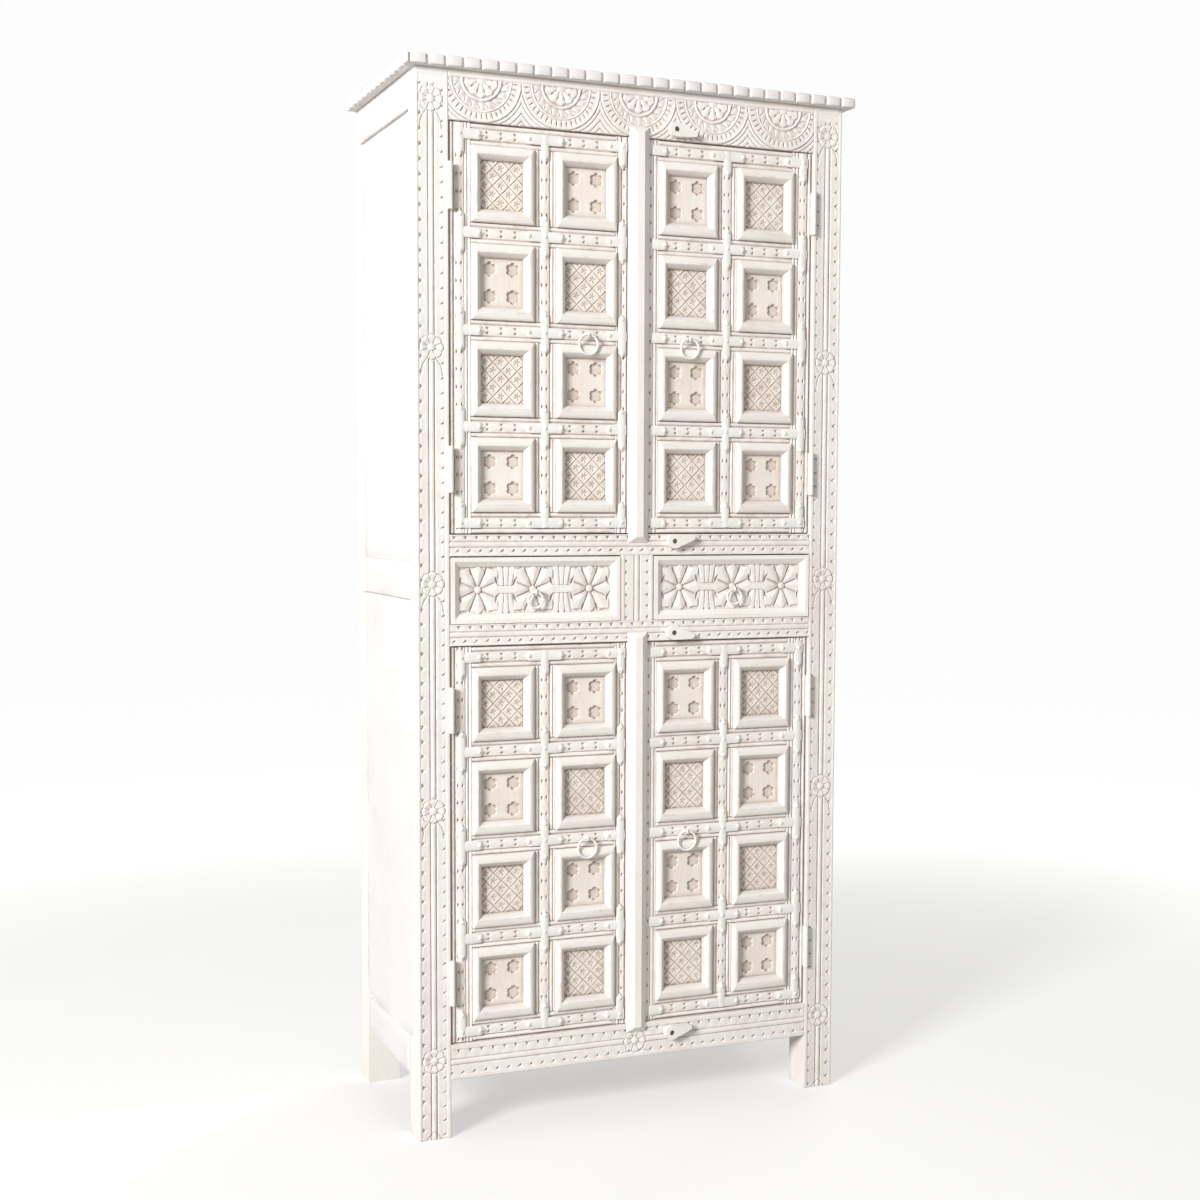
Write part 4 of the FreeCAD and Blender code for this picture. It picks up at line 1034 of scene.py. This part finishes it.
def door_rails(name, side, rows):
    """The five rails, and the short muntins between them."""
    rails = Carving()
    middles = [(z0 + z1) / 2 for z0, z1 in rows]
    middles[0], middles[-1] = rows[0][1] - END_RAIL_STRIP, rows[-1][0] + END_RAIL_STRIP
    x0, x1 = sided(side, MEETING_EDGE, STILE_EDGE)
    for (z0, z1), middle in zip(rows, middles):
        rails.slab(x0, x1, z0, z1, DOOR_FRONT, DOOR_BACK, rail_relief(middle), 0, step=0.95)
    x0, x1 = sided(side, *MUNTIN_EDGES)
    relief = upright_relief(side, *MUNTIN)
    for low, high in zip(rows[:-1], rows[1:]):
        rails.slab(x0, x1, low[1], high[0], DOOR_FRONT, DOOR_BACK, relief, 2, step=0.95)
    rails.build(name + "carved_rails", name + "door", CARVED, (name + "door_frame",))


INSET_BACK = DOOR_FRONT + 11
BACKING_FRONT, BACKING_BACK = DOOR_FRONT + 10.5, DOOR_FRONT + 14
# The width within which an inset darkens towards its edge is painted shade under the mouldings.
INSET_IN_X, INSET_IN_Z, INSET_SHADE_BORDER = 15.0, 19.5, 11.0


def door_panels(name, side, rows):
    """The mouldings and insets of the eight windows; lattices and sunk flowers take turns."""
    mouldings, insets = Carving(), Carving()
    for row in range(4):
        z0, z1 = rows[row][1], rows[row + 1][0]
        for column, (near, far) in enumerate(COLUMNS):
            x0, x1 = sided(side, near, far)
            moulding(mouldings, x0, x1, z0, z1, 61 + row * 2 + column)
            lattice = (row + column) % 2 == 0
            pattern, step = (lattice_relief, 0.8) if lattice else (sunk_flowers_relief, 0.9)
            x, z = (x0 + x1) / 2, (z0 + z1) / 2
            half_x, half_z = (x1 - x0) / 2 - INSET_IN_X, (z1 - z0) / 2 - INSET_IN_Z
            insets.slab(x - half_x, x + half_x, z - half_z, z + half_z, INSET_FRONT, INSET_BACK,
                        pattern(x, z), 2, step, border=INSET_SHADE_BORDER)
            insets.board((x0, BACKING_FRONT, z0), (x1, BACKING_BACK, z1), 2, 0.4)
    mouldings.build(name + "soft_mouldings", name + "door", CARVED, (name + "panel_mouldings",))
    insets.build(name + "carved_insets", name + "door", INSET, (name + "inset_panels",))


def door(level, start, side):
    name = level + ("_left_" if side < 0 else "_right_")
    rows = rail_heights(start)
    door_stiles(name, side, rows[0][0], rows[-1][1])
    door_rails(name, side, rows)
    door_panels(name, side, rows)
    strap_crowns(name, start, side)
    softened(name + "ironwork", 0.85, IRON, 3)
    softened(name + "hinge_leaves", 0.25, IRON)
    softened(name + "ring", 0.2, IRON)


# Drawers

def drawer(side):
    name = "left_drawer_" if side < 0 else "right_drawer_"
    body = name[:-1]
    low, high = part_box(name + "carved_panel")
    (x0, y0, z0), (x1, y1, z1) = [[value / MM for value in corner] for corner in (low, high)]
    work = Carving()
    work.slab(x0, x1, z0, z1, y0, y1, drawer_panel_relief(side), 0, step=0.7, rounding=0.5)
    work.build(name + "carving", body, CARVED, (name + "carved_panel",))
    softened(name + "front_frame", 1.2, PLAIN_CAD)
    softened(name + "box", 0.8, INNER)
    softened(name + "ring_staple", 0.3, IRON)
    softened(name + "ring", 0.2, IRON)


def build_all():
    front_post(-1, "left_front_post")
    front_post(1, "right_front_post")
    front_rails("carved_frieze", "frieze_rail", DEEP_RAIL_BACK, 0.85,
                (FRIEZE_BOTTOM, POST_TOP, frieze_relief))
    front_rails("carved_drawer_rails", "drawer_rails", DRAWER_RAIL_BACK, 0.85,
                (DRAWER_TOP, UPPER_DOOR, upper_rail_relief),
                (LOWER_RAIL_BOTTOM, DRAWER_BOTTOM, lower_rail_relief))
    front_rails("carved_bottom_rail", "bottom_rail", DEEP_RAIL_BACK, 0.8,
                (BOTTOM_RAIL_BOTTOM, LOWER_DOOR, bottom_rail_relief))
    drawer_divider()
    for part, rounding in (("rails", 1.4), ("panels", 0.5)):
        plain_boards("side_" + part, rounding)
        plain_boards("back_" + part, rounding)
    softened("rear_posts", 1.2, PLAIN_CAD)
    top_board()
    for node in ("floor_boards", "shelves", "shelf_cleats", "drawer_guides"):
        softened(node, 1.0, INNER)
    for node in ("hinge_post_leaves", "hinge_pins"):
        softened(node, 0.25, IRON)
    softened("latch_screws", 0.3, SHADED_SCREW_IRON)
    for level, start in (("upper", UPPER_DOOR), ("lower", LOWER_DOOR)):
        softened(level + "_cover_strip", 1.5, PLAIN_CAD, 3)
        for end in ("_top_latch", "_bottom_latch"):
            softened(level + end, 2.2, PLAIN_CAD, 4)
        for side in (-1, 1):
            door(level, start, side)
    for side in (-1, 1):
        drawer(side)


# Camera, floor and light

# Place in metres and turns in degrees, fitted to the straight edges in the photograph
CAMERA_PLACE = (-1.20997, -3.06968, 1.07959)
CAMERA_HEADING, CAMERA_PITCH, CAMERA_ROLL = -23.44, -4.14, 0.29


def camera():
    data = bpy.data.cameras.new("camera")
    data.sensor_width = 36.0
    data.lens = 54.04
    data.shift_x, data.shift_y = -0.0486, 0.0272
    data.clip_end = 60
    data.dof.use_dof = False
    item = linked("camera", data)
    item.location = CAMERA_PLACE
    turned = Matrix.Rotation(math.radians(CAMERA_HEADING), 4, "Z")
    turned = turned @ Matrix.Rotation(math.radians(90 + CAMERA_PITCH), 4, "X")
    turned = turned @ Matrix.Rotation(math.radians(CAMERA_ROLL), 4, "Z")
    item.rotation_euler = turned.to_euler()
    bpy.context.scene.camera = item


def white_sheet(name, corners, faces, albedo):
    """A shining white sheet that throws no light on the wardrobe; gives its shader."""
    mesh = bpy.data.meshes.new(name)
    mesh.from_pydata(corners, [], faces)
    sheet = linked(name, mesh)
    sheet.visible_diffuse = False
    shader = Shader(name + "_white")
    for socket, value in (("Base Color", (albedo, albedo, albedo, 1.0)), ("Roughness", 1.0),
                          ("Specular IOR Level", 0.0), ("Emission Color", (1.0, 1.0, 1.0, 1.0)),
                          ("Emission Strength", 0.98)):
        shader.surface.inputs[socket].default_value = value
    mesh.materials.append(shader.material)
    return shader


# Sizes of the floor and walls in metres; the floor's glow and shade change between two distances
STAGE_HALF, STAGE_NEAR, STAGE_FAR, STAGE_HEIGHT = 14.0, -14.0, 7.0, 12.0
FLOOR_ALBEDO = 0.46
GLOW_FROM, GLOW_TO, LEAST_GLOW, FULL_GLOW = 1.1, 3.5, 0.50, 0.97
SHADE_FROM, SHADE_TO, FAR_ALBEDO = 1.3, 4.2, 0.03


def floor():
    """A white floor and four white walls round the case; the floor takes shadows only near it."""
    corners = ((-1, STAGE_NEAR), (1, STAGE_NEAR), (1, STAGE_FAR), (-1, STAGE_FAR))
    ground = [(side * STAGE_HALF, y, 0) for side, y in corners]
    above = [(x, y, STAGE_HEIGHT) for x, y, _ in ground]
    sides = [(side, (side + 1) % 4, (side + 1) % 4 + 4, side + 4) for side in range(4)]
    shader = white_sheet("floor", ground, [(0, 1, 2, 3)], FLOOR_ALBEDO)
    white_sheet("walls", ground + above, sides, 0.0)
    place = shader.node("ShaderNodeTexCoord").outputs["Object"]
    away = shader.node("ShaderNodeVectorMath", {0: place}, operation="LENGTH").outputs["Value"]
    glow = shader.node("ShaderNodeMapRange", {"Value": away, "From Min": GLOW_FROM, "From Max": GLOW_TO,
                                              "To Min": LEAST_GLOW, "To Max": FULL_GLOW},
                       interpolation_type="SMOOTHSTEP").outputs["Result"]
    shader.tree.links.new(glow, shader.surface.inputs["Emission Strength"])
    fade = shader.limits(away, SHADE_FROM, SHADE_TO, 1.0, 0.0)
    colour = shader.mix(fade, (FAR_ALBEDO,) * 3, (FLOOR_ALBEDO,) * 3)
    shader.tree.links.new(colour, shader.surface.inputs["Base Color"])


def area_light(name, place, target, size, power, colour=(1.0, 1.0, 1.0)):
    data = bpy.data.lights.new(name, "AREA")
    data.shape = "RECTANGLE"
    data.size, data.size_y = size
    data.energy = power
    data.color = colour
    item = linked(name, data)
    item.location = place
    item.rotation_euler = (Vector(target) - Vector(place)).to_track_quat("-Z", "Y").to_euler()


def light():
    world = bpy.data.worlds.new("studio")
    world.use_nodes = True
    background = world.node_tree.nodes["Background"]
    background.inputs["Color"].default_value = (1.0, 0.965, 0.915, 1.0)
    background.inputs["Strength"].default_value = 0.42
    bpy.context.scene.world = world
    area_light("key", (-4.95, -3.6, 2.9), target=(0, 0, 0.85), size=(1.5, 1.5), power=465,
               colour=(0.99, 0.995, 1.0))
    area_light("side", (-4.6, 1.0, 1.2), target=(0, 0, 0.5), size=(2.2, 2.6), power=4)
    area_light("back fill", (3.2, 3.0, 3.2), target=(1.1, 0.2, 0), size=(2.5, 2.5), power=60)


build_all()
camera()
floor()
light()
bpy.context.scene.view_settings.view_transform = "Standard"
